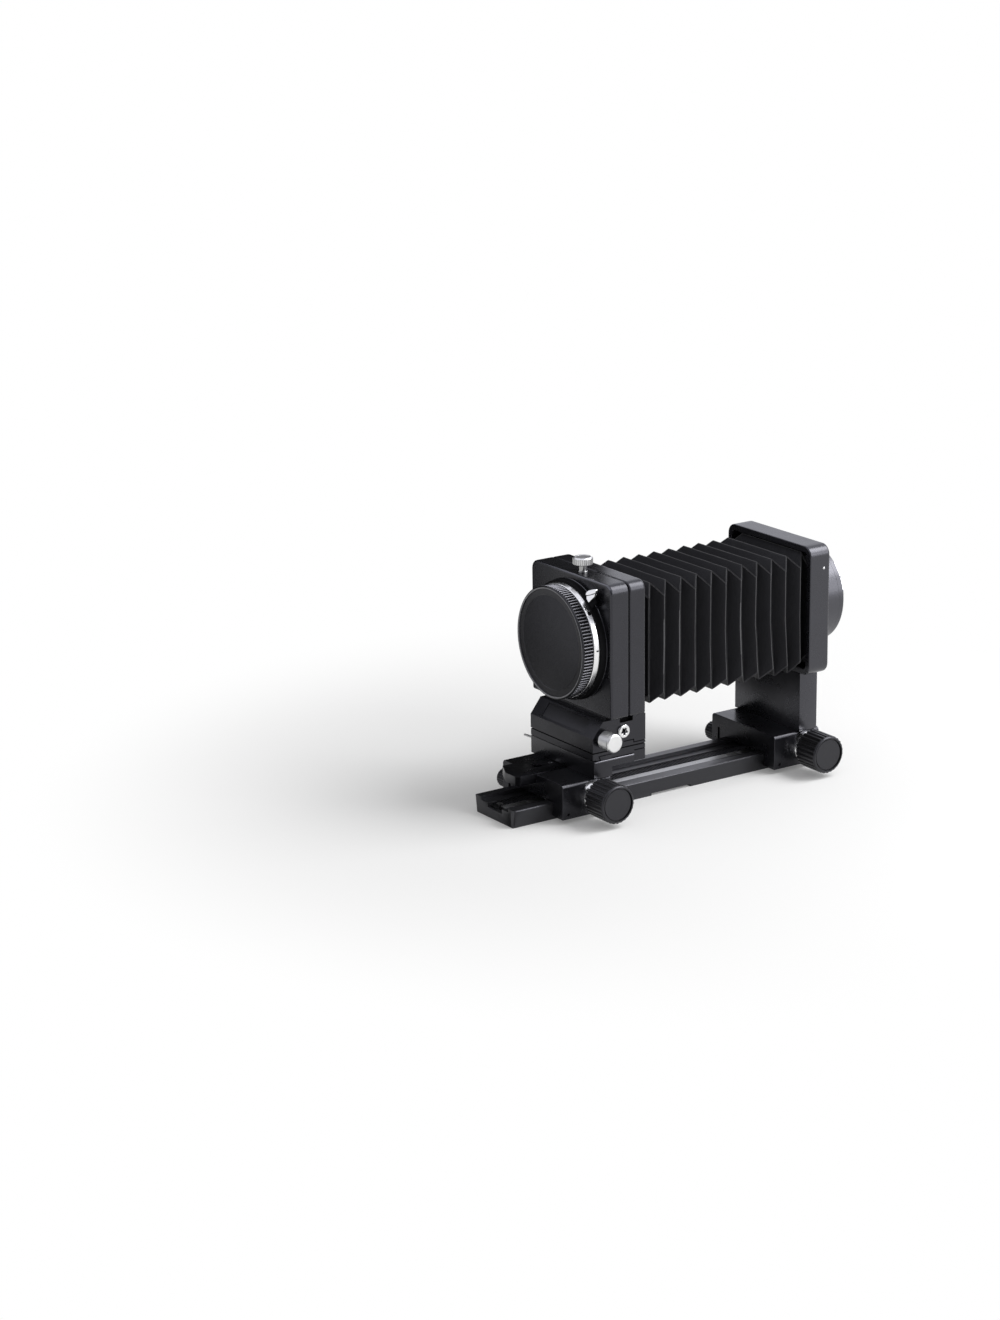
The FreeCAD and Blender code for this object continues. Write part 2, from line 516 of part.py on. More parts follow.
def pinion(axis_y):
    """An involute pinion, turned so that one of its gaps sits on a rack tooth."""
    base_r = PITCH_R * math.cos(PRESSURE)
    root_r = PITCH_R - ROOT_DEPTH
    tip_r = PITCH_R + MODULE - TIP_PLAY
    step = 2 * math.pi / PINION_TEETH
    involute = math.tan(PRESSURE) - PRESSURE
    half_at_pitch = step / 4 - BACKLASH / 2 / PITCH_R

    def half_angle(r):
        turn = math.acos(min(1.0, base_r / r))
        return half_at_pitch + involute - (math.tan(turn) - turn)

    nearest = min((rack_tooth_y(i) for i in range(rack_teeth())), key=lambda y: abs(y - axis_y))
    gap = (nearest - axis_y) / PITCH_R
    radii = [base_r, (base_r + PITCH_R) / 2, PITCH_R, (PITCH_R + tip_r) / 2, tip_r]
    flank = [(root_r, half_angle(base_r))] + [(r, half_angle(r)) for r in radii]
    outline = []
    for i in range(PINION_TEETH):
        centre = gap + step * (i + 0.5)
        for r, half in flank:
            outline.append((r, centre - half))
        for r, half in reversed(flank):
            outline.append((r, centre + half))
    points = [(axis_y + r * math.sin(a), DRIVE_Z - r * math.cos(a)) for r, a in outline]
    gear = along_x(points, *PINION_X)
    return gear.cut(rod("x", PINION_X[0] - SKIN, PINION_X[1] + SKIN, SHAFT_R, axis_y, DRIVE_Z))


def ribbed_along_x(x0, x1, radius, depth, count, y, z):
    return along_x([(y + a, z + b) for a, b in ribbed(radius, depth, count)], x0, x1)


def knob_collar(y, z):
    """A narrow neck beside the carriage, then the collar itself."""
    collar = rod("x", *COLLAR_NECK, y, z).fuse(rod("x", *COLLAR, y, z))
    return collar.cut(rod("x", COLLAR_NECK[0] - SKIN, COLLAR[1] + SKIN, SHAFT_R, y, z))


def focus_knob(axis_y):
    x0, x1, radius = KNOB
    place = (axis_y, DRIVE_Z)
    knob = ribbed_along_x(x0, x1, radius, KNOB_RIB_DEPTH, KNOB_RIBS, *place)
    knob = knob.cut(rod("x", x1 - KNOB_DISH_DEPTH, x1 + SKIN, radius - KNOB_LIP, *place))
    return knob.cut(rod("x", x0 - SKIN, SHAFT_X[1], SHAFT_R, *place))


def lock_knob(axis_y):
    inner, outer, radius = LOCK_KNOB
    knob = ribbed_along_x(-outer, -inner, radius, LOCK_RIB_DEPTH, LOCK_RIBS, axis_y, LOCK_Z)
    neck_inner, neck_outer, neck_radius = LOCK_NECK
    knob = knob.fuse(rod("x", -neck_outer, -neck_inner, neck_radius, axis_y, LOCK_Z))
    middle = (inner + outer) / 2
    return knob.cut(rod("x", -middle, -neck_inner + SKIN, LOCK_SCREW_R, axis_y, LOCK_Z))


def lock_screw(axis_y):
    middle = (LOCK_KNOB[0] + LOCK_KNOB[1]) / 2
    return rod("x", -middle, -PAD_OUTER, LOCK_SCREW_R, axis_y, LOCK_Z)


def column_screw(x, y):
    radius, height = COLUMN_SCREW_HEAD
    head = rod("z", CARRIAGE_BOTTOM, CARRIAGE_BOTTOM + height, radius, x, y)
    return head.fuse(rod("z", CARRIAGE_BOTTOM + height, COLUMN_SCREW_TOP, COLUMN_SCREW_R, x, y))


def drive_and_lock(prefix, front):
    """The pieces that both carriages have: bushes, shaft, pinion, knobs, lock screw and brake pad."""
    axis = (front + DRIVE_Y, DRIVE_Z)
    lock_y = front + LOCK_Y
    for place, (x0, x1, radius) in (("outer", OUTER_BUSH), ("inner", INNER_BUSH)):
        save(tube("x", x0, x1, radius, SHAFT_R + RUN, *axis), f"{prefix}_{place}_bush")
    save(rod("x", *SHAFT_X, SHAFT_R, *axis), f"{prefix}_shaft")
    save(pinion(axis[0]), f"{prefix}_pinion")
    save(knob_collar(*axis), f"{prefix}_knob_collar")
    save(focus_knob(axis[0]), f"{prefix}_focus_knob")
    save(lock_knob(lock_y), f"{prefix}_lock_knob")
    save(lock_screw(lock_y), f"{prefix}_lock_screw")
    save(rod("x", -PAD_OUTER, -PAD_INNER, LOCK_SCREW_R + RUN, lock_y, LOCK_Z), f"{prefix}_brake_pad")


# ---- front carriage ----

def tongue_outline():
    left, right = TONGUE_X
    cut_x, cut_y = TONGUE_LEFT_CUT
    return [(left, TONGUE_DEEP_END), (left, TONGUE_FRONT + cut_y), (left + cut_x, TONGUE_FRONT),
            (right - TONGUE_RIGHT_CUT, TONGUE_FRONT), (right, TONGUE_FRONT + TONGUE_RIGHT_CUT),
            (right, TONGUE_DEEP_END)]


def tongue_room():
    """The recess in the carriage's top that the tongue plate lies in."""
    deep = box(*TONGUE_X, FRONT_CARRIAGE_Y - SKIN, TONGUE_DEEP_END, TONGUE_Z[0], CARRIAGE_TOP + SKIN)
    return deep.fuse(box(*TONGUE_X, TONGUE_DEEP_END, PEDESTAL_Y[0], TONGUE_TAIL_Z, CARRIAGE_TOP + SKIN))


def tongue_screw_hole():
    x, y, head_radius, radius = TONGUE_SCREW
    head_depth, shank_depth = TONGUE_SCREW_DEPTH
    top = TONGUE_Z[1]
    hole = rod("z", top - head_depth, top + SKIN, head_radius, x, y)
    return hole.fuse(rod("z", top - head_depth - shank_depth, top, radius, x, y))


def front_carriage():
    block = carriage(FRONT_CARRIAGE_Y, FRONT_SCREW_Y)
    return block.cut(tongue_room()).cut(tongue_screw_hole())


def tongue_plate():
    plate = along_z(tongue_outline(), *TONGUE_Z)
    tail = box(*TONGUE_X, TONGUE_DEEP_END, PEDESTAL_Y[0] - RUN, TONGUE_TAIL_Z, TONGUE_Z[1])
    plate = plate.fuse(tail)
    x, front, rear, half = TONGUE_SLOT
    slot = box(x - half, x + half, front + half, rear - half, TONGUE_Z[0] - SKIN, TONGUE_Z[1] + SKIN)
    for y in (front + half, rear - half):
        slot = slot.fuse(rod("z", TONGUE_Z[0] - SKIN, TONGUE_Z[1] + SKIN, half, x, y))
    return plate.cut(slot).cut(tongue_screw_hole())


def tongue_screw():
    x, y, head_radius, radius = TONGUE_SCREW
    head_depth, shank_depth = TONGUE_SCREW_DEPTH
    top = TONGUE_Z[1]
    screw = rod("z", top - head_depth, top, head_radius, x, y)
    screw = screw.fuse(rod("z", top - head_depth - shank_depth, top - head_depth, radius, x, y))
    half, depth = SCREW_SLOT
    return screw.cut(box(x - head_radius, x + head_radius, y - half, y + half, top - depth, top + SKIN))


# ---- front standard ----

def shift_rib(grow=0.0):
    """The dovetail across the table's top; its sides lean out as they rise."""
    front, rear, undercut, height = SHIFT_RIB
    base = TABLE_Z[1]
    outline = [(front + undercut - grow, base), (rear - undercut + grow, base),
               (rear + grow, base + height + grow), (front - grow, base + height + grow)]
    return along_x(outline, -PEDESTAL_HALF - grow, PEDESTAL_HALF + grow)


def pedestal():
    block = box(-PEDESTAL_HALF, PEDESTAL_HALF, *PEDESTAL_Y, CARRIAGE_TOP, TABLE_Z[1])
    block = block.fuse(box(-PEDESTAL_HALF, PEDESTAL_HALF, PEDESTAL_Y[1], TABLE_REAR, *TABLE_Z))
    block = block.fuse(shift_rib())
    hub_radius, hub_bottom, hub_top = LEVER_HUB
    block = block.cut(rod("z", hub_bottom - SKIN, TABLE_Z[1] + SKIN, hub_radius + RUN, *LEVER_PIVOT))
    across_y, across_z = LEVER_SLOT_HALF
    x, y = LEVER_PIVOT
    block = block.cut(box(-PEDESTAL_HALF - SKIN, x, y - across_y, y + across_y,
                          LEVER_Z - across_z, LEVER_Z + across_z))
    for screw_x in (-COLUMN_SCREW_X, COLUMN_SCREW_X):
        block = block.cut(rod("z", CARRIAGE_TOP - SKIN, COLUMN_SCREW_TOP, COLUMN_SCREW_R, screw_x, FRONT_SCREW_Y))
    return block


def shift_lock_lever():
    x, y = LEVER_PIVOT
    radius, bottom, top = LEVER_HUB
    hub = rod("z", bottom, top, radius, x, y)
    way = Vec(-math.cos(math.radians(LEVER_REST_DEG)), -math.sin(math.radians(LEVER_REST_DEG)), 0)
    arm = Part.makeCylinder(LEVER_ARM_R, LEVER_REACH, Vec(x, y, LEVER_Z), way)
    return hub.fuse(arm)


def shift_plate():
    front, rear = STANDARD_Y
    plate = box(-STANDARD_HALF, STANDARD_HALF, front, rear, TABLE_Z[1], SHIFT_TOP)
    hook = box(-STANDARD_HALF, STANDARD_HALF, TABLE_REAR + RUN, rear, *TABLE_Z)
    plate = plate.fuse(hook).cut(shift_rib(RUN))
    return plate.cut(rod("z", PIVOT_Z[0], SHIFT_TOP + SKIN, PIVOT_R + RUN, 0, PIVOT_Y))


def nose_point(along, under):
    """A (y, z) place on the sloped nose: so far down it, and so far under its face."""
    front, _ = STANDARD_Y
    run = front - NOSE_TOP_Y
    drop = NOSE_FRONT_Z - SWING_TOP
    length = math.hypot(run, drop)
    way = (run / length, drop / length)
    inward = (-way[1], way[0])
    return (NOSE_TOP_Y + way[0] * along + inward[0] * under, SWING_TOP + way[1] * along + inward[1] * under)


def swing_block():
    front, rear = STANDARD_Y
    outline = [(front, SHIFT_TOP), (front, NOSE_FRONT_Z), (NOSE_TOP_Y, SWING_TOP), (rear, SWING_TOP),
               (rear, SHIFT_TOP)]
    block = along_x(outline, -STANDARD_HALF, STANDARD_HALF)
    half, land_front, land_rear = LAND
    block = block.fuse(box(-half, half, land_front, land_rear, SWING_TOP, SWING_TOP + LAND_HEIGHT))
    room = [nose_point(NAME_SPAN[0], -SKIN), nose_point(NAME_SPAN[1], -SKIN),
            nose_point(NAME_SPAN[1], NAME_DEPTH[1]), nose_point(NAME_SPAN[0], NAME_DEPTH[1])]
    block = block.cut(along_x(room, -NAME_HALF, NAME_HALF))
    notch_front, notch_rear, notch_bottom, notch_x = SIDE_NOTCH
    block = block.cut(box(notch_x, STANDARD_HALF + SKIN, notch_front, notch_rear, notch_bottom,
                          SWING_TOP + SKIN))
    block = block.cut(rod("z", SHIFT_TOP - SKIN, PIVOT_Z[1], PIVOT_R, 0, PIVOT_Y))
    screw_x, screw_r = SWING_SCREW
    block = block.cut(rod("x", screw_x, STANDARD_HALF + SKIN, screw_r + RUN, *SWING_KNOB_YZ))
    block = block.cut(rod("x", SOCKET_BODY[0], STANDARD_HALF + SKIN, SOCKET_BODY[2], *SOCKET_YZ))
    inner = PLUNGER[0] - PLUNGER_TRAVEL - FREE
    return block.cut(rod("x", inner, SOCKET_BODY[0] + SKIN, PLUNGER[2] + RUN, *SOCKET_YZ))


def name_panel():
    outline = [nose_point(NAME_SPAN[0], NAME_DEPTH[0]), nose_point(NAME_SPAN[1], NAME_DEPTH[0]),
               nose_point(NAME_SPAN[1], NAME_DEPTH[1]), nose_point(NAME_SPAN[0], NAME_DEPTH[1])]
    return along_x(outline, -NAME_HALF, NAME_HALF)


def swing_lock_knob():
    x0, x1, radius = SWING_KNOB
    knob = ribbed_along_x(x0, x1, radius, SWING_RIB_DEPTH, SWING_RIBS, *SWING_KNOB_YZ)
    neck_x0, neck_x1, neck_radius = SWING_NECK
    knob = knob.fuse(rod("x", neck_x0, neck_x1, neck_radius, *SWING_KNOB_YZ))
    screw_x, screw_r = SWING_SCREW
    return knob.fuse(rod("x", screw_x, neck_x0, screw_r, *SWING_KNOB_YZ))


def release_socket():
    socket = rod("x", *SOCKET_RING, *SOCKET_YZ).fuse(rod("x", *SOCKET_BODY, *SOCKET_YZ))
    return socket.cut(rod("x", SOCKET_BODY[0] - SKIN, SOCKET_RING[1] + SKIN, SOCKET_BORE_R, *SOCKET_YZ))


def front_slab():
    slab = rounded_slab(SLAB_HALF, SLAB_HEIGHT_HALF, *FRONT_SLAB_Y, SLAB_CORNER)
    boss_front, boss_radius = BOSS
    slab = slab.fuse(rod("y", boss_front, FRONT_SLAB_Y[0], boss_radius, 0, AXIS_Z))
    slab = slab.cut(rod("y", boss_front - SKIN, FRONT_SLAB_Y[0], THROAT_R, 0, AXIS_Z))
    slab = slab.cut(rod("y", FRONT_SLAB_Y[0] - SKIN, FRONT_SLAB_Y[1] + SKIN, LIGHT_BORE_R, 0, AXIS_Z))
    x, z = polar(LOCK_PIN_RADIUS, LOCK_PIN_DEG)
    slab = slab.cut(rod("y", boss_front - SKIN, LOCK_PIN[1] + LOCK_PIN_TRAVEL + FREE, LOCK_PIN[2] + RUN, x, z))
    shank_r, shank_z = CLAMP_SHANK
    return slab.cut(rod("z", shank_z, SLAB_TOP + SKIN, shank_r + RUN, *CLAMP_XY))


def rear_slab():
    slab = rounded_slab(SLAB_HALF, SLAB_HEIGHT_HALF, *REAR_SLAB_Y, SLAB_CORNER)
    spacer = box(-SPACER_HALF, SPACER_HALF, FRONT_SLAB_Y[1], REAR_SLAB_Y[0],
                 AXIS_Z - SPACER_HALF, AXIS_Z + SPACER_HALF)
    slab = slab.fuse(spacer)
    return slab.cut(rod("y", FRONT_SLAB_Y[1] - SKIN, REAR_SLAB_Y[1] + SKIN, LIGHT_BORE_R, 0, AXIS_Z))


def lens_mount_ring():
    front, rear, radius = RING
    ring = tube("y", front, rear, radius, THROAT_R, 0, AXIS_Z)
    for i in range(TABS):
        ring = ring.fuse(sector(*TAB_Y, TAB_R, THROAT_R + SKIN, FULL_TURN_DEG * (i / TABS + 0.25), TAB_DEG))
    x, z = polar(LOCK_PIN_RADIUS, LOCK_PIN_DEG)
    return ring.cut(rod("y", front - SKIN, rear + SKIN, LOCK_PIN[2] + RUN, x, z))


def lens_lock_pin():
    front, rear, radius = LOCK_PIN
    return rod("y", front, rear, radius, *polar(LOCK_PIN_RADIUS, LOCK_PIN_DEG))


def lens_release_lever():
    """A foot that hugs the ring and a wedge that flares outwards to a finger tip."""
    foot = sector(*RELEASE_Y, *RELEASE_FOOT)
    return foot.fuse(along_y([polar(RING_R + beyond, degrees) for beyond, degrees in RELEASE_WEDGE], *RELEASE_Y))


def diaphragm_lever():
    front, rear, outer, inner = DIAPHRAGM
    ring = tube("y", front, rear, outer, inner, 0, AXIS_Z)
    at_radius, radius, pin_front = DIAPHRAGM_PIN
    return ring.fuse(rod("y", pin_front, rear, radius, *polar(at_radius, DIAPHRAGM_DEG)))


def body_cap():
    front, rear, radius = CAP
    outline = [(a, AXIS_Z + b) for a, b in ribbed(radius, CAP_RIB_DEPTH, CAP_RIBS)]
    cap = along_y(outline, front, rear)
    cap = cap.cut(rod("y", front - SKIN, front + CAP_DISH, radius - CAP_RIM - CAP_RIB_DEPTH, 0, AXIS_Z))
    outer, inner, sleeve_rear = CAP_SLEEVE
    cap = cap.fuse(tube("y", rear, sleeve_rear, outer, inner, 0, AXIS_Z))
    cap = cap.cut(rod("y", front + CAP_DISH + CAP_WALL, rear + SKIN, inner, 0, AXIS_Z))
    groove_inner, groove_outer, depth = CAP_GROOVE
    cap = cap.cut(tube("y", rear - depth, rear + SKIN, groove_outer, groove_inner, 0, AXIS_Z))
    lug_front, lug_rear, lug_radius, lug_deg = CAP_LUG
    for i in range(TABS):
        cap = cap.fuse(sector(lug_front, lug_rear, outer - SKIN, lug_radius, FULL_TURN_DEG * (i / TABS + 0.25), lug_deg))
    return cap


def top_clamp_screw():
    radius, bottom, top = CLAMP_NECK
    head_radius, thickness = CLAMP_HEAD
    x, y = CLAMP_XY
    outline = [(x + a, y + b) for a, b in ribbed(head_radius, CLAMP_RIB_DEPTH, CLAMP_RIBS)]
    screw = along_z(outline, top, top + thickness).fuse(rod("z", bottom, top, radius, x, y))
    shank_r, shank_z = CLAMP_SHANK
    return screw.fuse(rod("z", shank_z, bottom, shank_r, x, y))


# ---- bellows ----

def fold_levels():
    """Every level of the folded wall as (y, half width, half height), from the lens end to the camera end.
    Side ridges and top ridges take turns, half a pitch apart."""
    valley = FOLD_HALF - FOLD_DEPTH
    levels = [(BELLOWS_Y[0], valley, valley)]
    for i in range(FOLD_COUNT):
        side = FOLD_FIRST + FOLD_PITCH * i
        levels.append((side, FOLD_HALF, valley))
        levels.append((side + FOLD_PITCH / 2, valley, FOLD_HALF))
    levels.append((BELLOWS_Y[1], valley, valley))
    return levels


def fold_tube(levels):
    """A pleated square tube with an even wall, through the given levels."""
    def pleats(inset):
        rings = []
        for y, half, height in levels:
            a, b = half - inset, height - inset
            corners = [Vec(-a, y, AXIS_Z - b), Vec(a, y, AXIS_Z - b), Vec(a, y, AXIS_Z + b), Vec(-a, y, AXIS_Z + b)]
            rings.append(Part.makePolygon(corners + [corners[0]]))
        return Part.makeLoft(rings, True, True)
    return pleats(0.0).cut(pleats(FOLD_WALL))


def bellows_frame(y0, y1):
    plate = box(-BELLOWS_FRAME_HALF, BELLOWS_FRAME_HALF, y0, y1,
                AXIS_Z - BELLOWS_FRAME_HALF, AXIS_Z + BELLOWS_FRAME_HALF)
    hole = box(-BELLOWS_OPENING_HALF, BELLOWS_OPENING_HALF, y0 - SKIN, y1 + SKIN,
               AXIS_Z - BELLOWS_OPENING_HALF, AXIS_Z + BELLOWS_OPENING_HALF)
    return plate.cut(hole)


# ---- rear standard ----

def rear_column():
    block = box(-REAR_COLUMN_HALF, REAR_COLUMN_HALF, *REAR_COLUMN_Y, CARRIAGE_TOP, AXIS_Z - SLAB_HEIGHT_HALF)
    for x in (-COLUMN_SCREW_X, COLUMN_SCREW_X):
        block = block.cut(rod("z", CARRIAGE_TOP - SKIN, COLUMN_SCREW_TOP, COLUMN_SCREW_R, x, REAR_SCREW_Y))
    return block


def rear_frame():
    front, rear = REAR_FRAME_Y
    frame = rounded_slab(SLAB_HALF, SLAB_HEIGHT_HALF, front, rear, REAR_FRAME_CORNER)
    half = RECESS_HALF
    frame = frame.cut(box(-half, half, front - SKIN, RECESS_FLOOR, AXIS_Z - half, AXIS_Z + half))
    frame = frame.cut(rod("y", RECESS_FLOOR - SKIN, rear + SKIN, LIGHT_BORE_R, 0, AXIS_Z))
    frame = frame.cut(rod("y", SPIGOT_FRONT, rear + SKIN, SPIGOT_R, 0, AXIS_Z))
    y, z, radius, length = SIDE_SCREW
    return frame.cut(rod("x", SLAB_HALF - length, SLAB_HALF + SKIN, radius, y, z))


def mount_barrel():
    front, rear, radius = BARREL
    barrel = rod("y", front, rear, radius, 0, AXIS_Z)
    barrel = barrel.fuse(rod("y", SPIGOT_FRONT + RUN, front, SPIGOT_R - RUN, 0, AXIS_Z))
    return barrel.cut(rod("y", SPIGOT_FRONT, rear + SKIN, BARREL_BORE_R, 0, AXIS_Z))


def camera_mount_ring():
    front, rear, radius = CAMERA_FLANGE
    tube_end, tube_radius = CAMERA_TUBE
    ring = rod("y", front, rear, radius, 0, AXIS_Z)
    ring = ring.fuse(rod("y", rear, tube_end, tube_radius, 0, AXIS_Z))
    ring = ring.cut(rod("y", front - SKIN, tube_end + SKIN, BARREL_BORE_R, 0, AXIS_Z))
    lug_front, lug_rear, lug_radius, lug_deg = CAMERA_LUG
    for i in range(TABS):
        ring = ring.fuse(sector(lug_front, lug_rear, tube_radius - SKIN, lug_radius,
                                CAMERA_LUG_FIRST_DEG + FULL_TURN_DEG * i / TABS, lug_deg))
    return ring


# ---- all pieces ----

def build():
    save(rail(), "rail")
    save(tripod_bush(), "tripod_bush")
    save(rack(), "rail_rack")
    save(scale_plate(), "scale_plate")
    for name, y in zip(("front", "rear"), RACK_SCREW_Y):
        save(rack_screw(y), f"rack_screw_{name}")

    save(front_carriage(), "front_carriage")
    drive_and_lock("front", FRONT_CARRIAGE_Y)
    save(tongue_plate(), "tongue_plate")
    save(tongue_screw(), "tongue_screw")
    save(pedestal(), "front_pedestal")
    save(shift_lock_lever(), "shift_lock_lever")

    save(shift_plate(), "shift_plate")
    save(swing_block(), "swing_block")
    save(rod("z", *PIVOT_Z, PIVOT_R, 0, PIVOT_Y), "swing_pivot")
    save(name_panel(), "name_panel")
    save(swing_lock_knob(), "swing_lock_knob")
    save(release_socket(), "release_socket")
    save(rod("x", *PLUNGER, *SOCKET_YZ), "release_plunger")
    save(front_slab(), "front_slab")
    save(rear_slab(), "rear_slab")
    save(lens_mount_ring(), "lens_mount_ring")
    save(lens_lock_pin(), "lens_lock_pin")
    save(lens_release_lever(), "lens_release_lever")
    save(diaphragm_lever(), "diaphragm_lever")
    save(body_cap(), "body_cap")
    save(top_clamp_screw(), "top_clamp_screw")

    levels = fold_levels()
    cuts = [0] + [1 + 2 * count for count in FOLD_CUT_COUNTS] + [len(levels) - 1]
    names = ("bellows_swing_fold", "bellows_shift_fold", "bellows_front_folds", "bellows_rear_folds")
    for name, first, last in zip(names, cuts, cuts[1:]):
        save(fold_tube(levels[first:last + 1]), name)
    save(bellows_frame(REAR_SLAB_Y[1], BELLOWS_Y[0]), "bellows_front_frame")
    save(bellows_frame(BELLOWS_Y[1], RECESS_FLOOR), "bellows_rear_frame")

    save(carriage(REAR_CARRIAGE_Y, REAR_SCREW_Y), "rear_carriage")
    drive_and_lock("rear", REAR_CARRIAGE_Y)
    save(rear_column(), "rear_column")
    save(rear_frame(), "rear_frame")
    save(mount_barrel(), "mount_barrel")
    save(camera_mount_ring(), "camera_mount_ring")
    y, z, radius, length = SIDE_SCREW
    save(rod("x", SLAB_HALF - length, SLAB_HALF, radius, y, z), "frame_side_screw")
    for name, screw_y in (("front", FRONT_SCREW_Y), ("rear", REAR_SCREW_Y)):
        for side, x in (("left", -COLUMN_SCREW_X), ("right", COLUMN_SCREW_X)):
            save(column_screw(x, screw_y), f"{name}_column_screw_{side}")


build()
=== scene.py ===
import bpy
import bmesh
import math
from contextlib import contextmanager
from mathutils import Matrix, Vector


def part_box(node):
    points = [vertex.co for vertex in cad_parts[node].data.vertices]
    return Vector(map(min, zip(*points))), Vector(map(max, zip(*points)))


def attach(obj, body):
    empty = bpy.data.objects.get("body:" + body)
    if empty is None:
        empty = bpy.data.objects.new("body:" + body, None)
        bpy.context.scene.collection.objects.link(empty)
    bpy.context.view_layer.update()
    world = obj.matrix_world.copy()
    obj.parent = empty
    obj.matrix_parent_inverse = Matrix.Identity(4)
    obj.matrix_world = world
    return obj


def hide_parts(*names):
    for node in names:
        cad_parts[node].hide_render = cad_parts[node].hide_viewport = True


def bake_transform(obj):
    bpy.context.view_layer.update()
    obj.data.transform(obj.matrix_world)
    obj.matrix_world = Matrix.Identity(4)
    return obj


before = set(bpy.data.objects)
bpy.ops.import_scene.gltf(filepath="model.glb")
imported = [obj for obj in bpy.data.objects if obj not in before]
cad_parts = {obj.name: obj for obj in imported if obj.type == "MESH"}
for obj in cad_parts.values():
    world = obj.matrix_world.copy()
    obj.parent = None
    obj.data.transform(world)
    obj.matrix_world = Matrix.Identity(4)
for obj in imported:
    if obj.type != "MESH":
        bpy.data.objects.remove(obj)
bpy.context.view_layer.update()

from types import SimpleNamespace

# Sizes are in millimetres in the dictionaries and turned to metres where a mesh is made.
# +X is the side with the focus knobs, -Y the lens end, Z up; the lens axis runs along Y.
lensAxis = 89.7
milli = 0.001
# points closer than this many metres are one
sameSpot = 2e-6


# What shaders and node trees share

class Wire:
    # an output of a node; sums on it add Math nodes to its tree
    def __init__(self, graph, socket):
        self.graph = graph
        self.socket = socket

    def calc(self, operation, *others):
        return self.graph.maths(operation, self, *others)

    def other(self, name):
        # another output of the same node
        return Wire(self.graph, self.socket.node.outputs[name])

    def clamped(self, low=0.0, high=1.0):
        return self.calc("MINIMUM", high).calc("MAXIMUM", low)

    def stepped(self, low, high):
        # 0 below low, 1 above high, smooth between
        return self.graph.add("ShaderNodeMapRange", {0: self, 1: low, 2: high},
                              interpolation_type="SMOOTHSTEP")


def operator(operation, swapped):
    def method(self, other):
        return self.graph.maths(operation, *((other, self) if swapped else (self, other)))
    return method


for sign, operation in {"add": "ADD", "sub": "SUBTRACT", "mul": "MULTIPLY", "truediv": "DIVIDE"}.items():
    setattr(Wire, f"__{sign}__", operator(operation, False))
    setattr(Wire, f"__r{sign}__", operator(operation, True))


class Graph:
    # one node tree, shader or geometry
    def __init__(self, tree):
        self.tree = tree

    def add(self, kind, inputs=None, out=0, **settings):
        node = self.tree.nodes.new(kind)
        for name, value in settings.items():
            setattr(node, name, value)
        for name, value in (inputs or {}).items():
            for one in value if isinstance(value, list) else [value]:
                if isinstance(one, Wire):
                    self.tree.links.new(one.socket, node.inputs[name])
                else:
                    node.inputs[name].default_value = one
        return Wire(self, node.outputs[out]) if len(node.outputs) else node

    def maths(self, operation, *values):
        return self.add("ShaderNodeMath", dict(enumerate(values)), operation=operation)

    def combined(self, x, y, z):
        return self.add("ShaderNodeCombineXYZ", {0: x, 1: y, 2: z})

    def parts(self, vector):
        x = self.add("ShaderNodeSeparateXYZ", {0: vector})
        return x, x.other("Y"), x.other("Z")

    def stored(self, geometry, name, kind, value):
        inputs = {"Geometry": geometry, "Name": name, "Value": value}
        return self.add("GeometryNodeStoreNamedAttribute", inputs, data_type=kind, domain="POINT")

    def stretched(self, vector, scale):
        return self.add("ShaderNodeMapping", {"Vector": vector, "Scale": scale})

    def noise(self, vector, scale, detail=2.0, roughness=0.5):
        return self.add("ShaderNodeTexNoise", {"Vector": vector, "Scale": scale, "Detail": detail,
                                               "Roughness": roughness})

    def mixed(self, factor, first, second):
        return self.add("ShaderNodeMix", {0: factor, 6: first, 7: second}, 2, data_type="RGBA")

    def shaders(self, factor, first, second):
        return self.add("ShaderNodeMixShader", {0: factor, 1: first, 2: second})

    def bumped(self, height, strength, distance):
        return self.add("ShaderNodeBump", {"Height": height, "Strength": strength,
                                           "Distance": distance * milli})


def startMaterial(name):
    material = bpy.data.materials.new(name)
    material.use_nodes = True
    material.node_tree.nodes.clear()
    graph = Graph(material.node_tree)
    return material, graph, graph.add("ShaderNodeTexCoord", out="Object")


def finishMaterial(graph, colour, roughness, normal, more):
    shader = graph.add("ShaderNodeBsdfPrincipled",
                       {"Base Color": colour, "Roughness": roughness, "Normal": normal, **more})
    graph.add("ShaderNodeOutputMaterial", {"Surface": shader})


def grey(value, blue=1.0):
    return (value, value, value * blue, 1.0)


# Finishes

# a cool tint on the reflections of the black finishes and the cloth: a painted blue cast of the light around
coldTint = (0.90, 0.90, 1.0, 1.0)
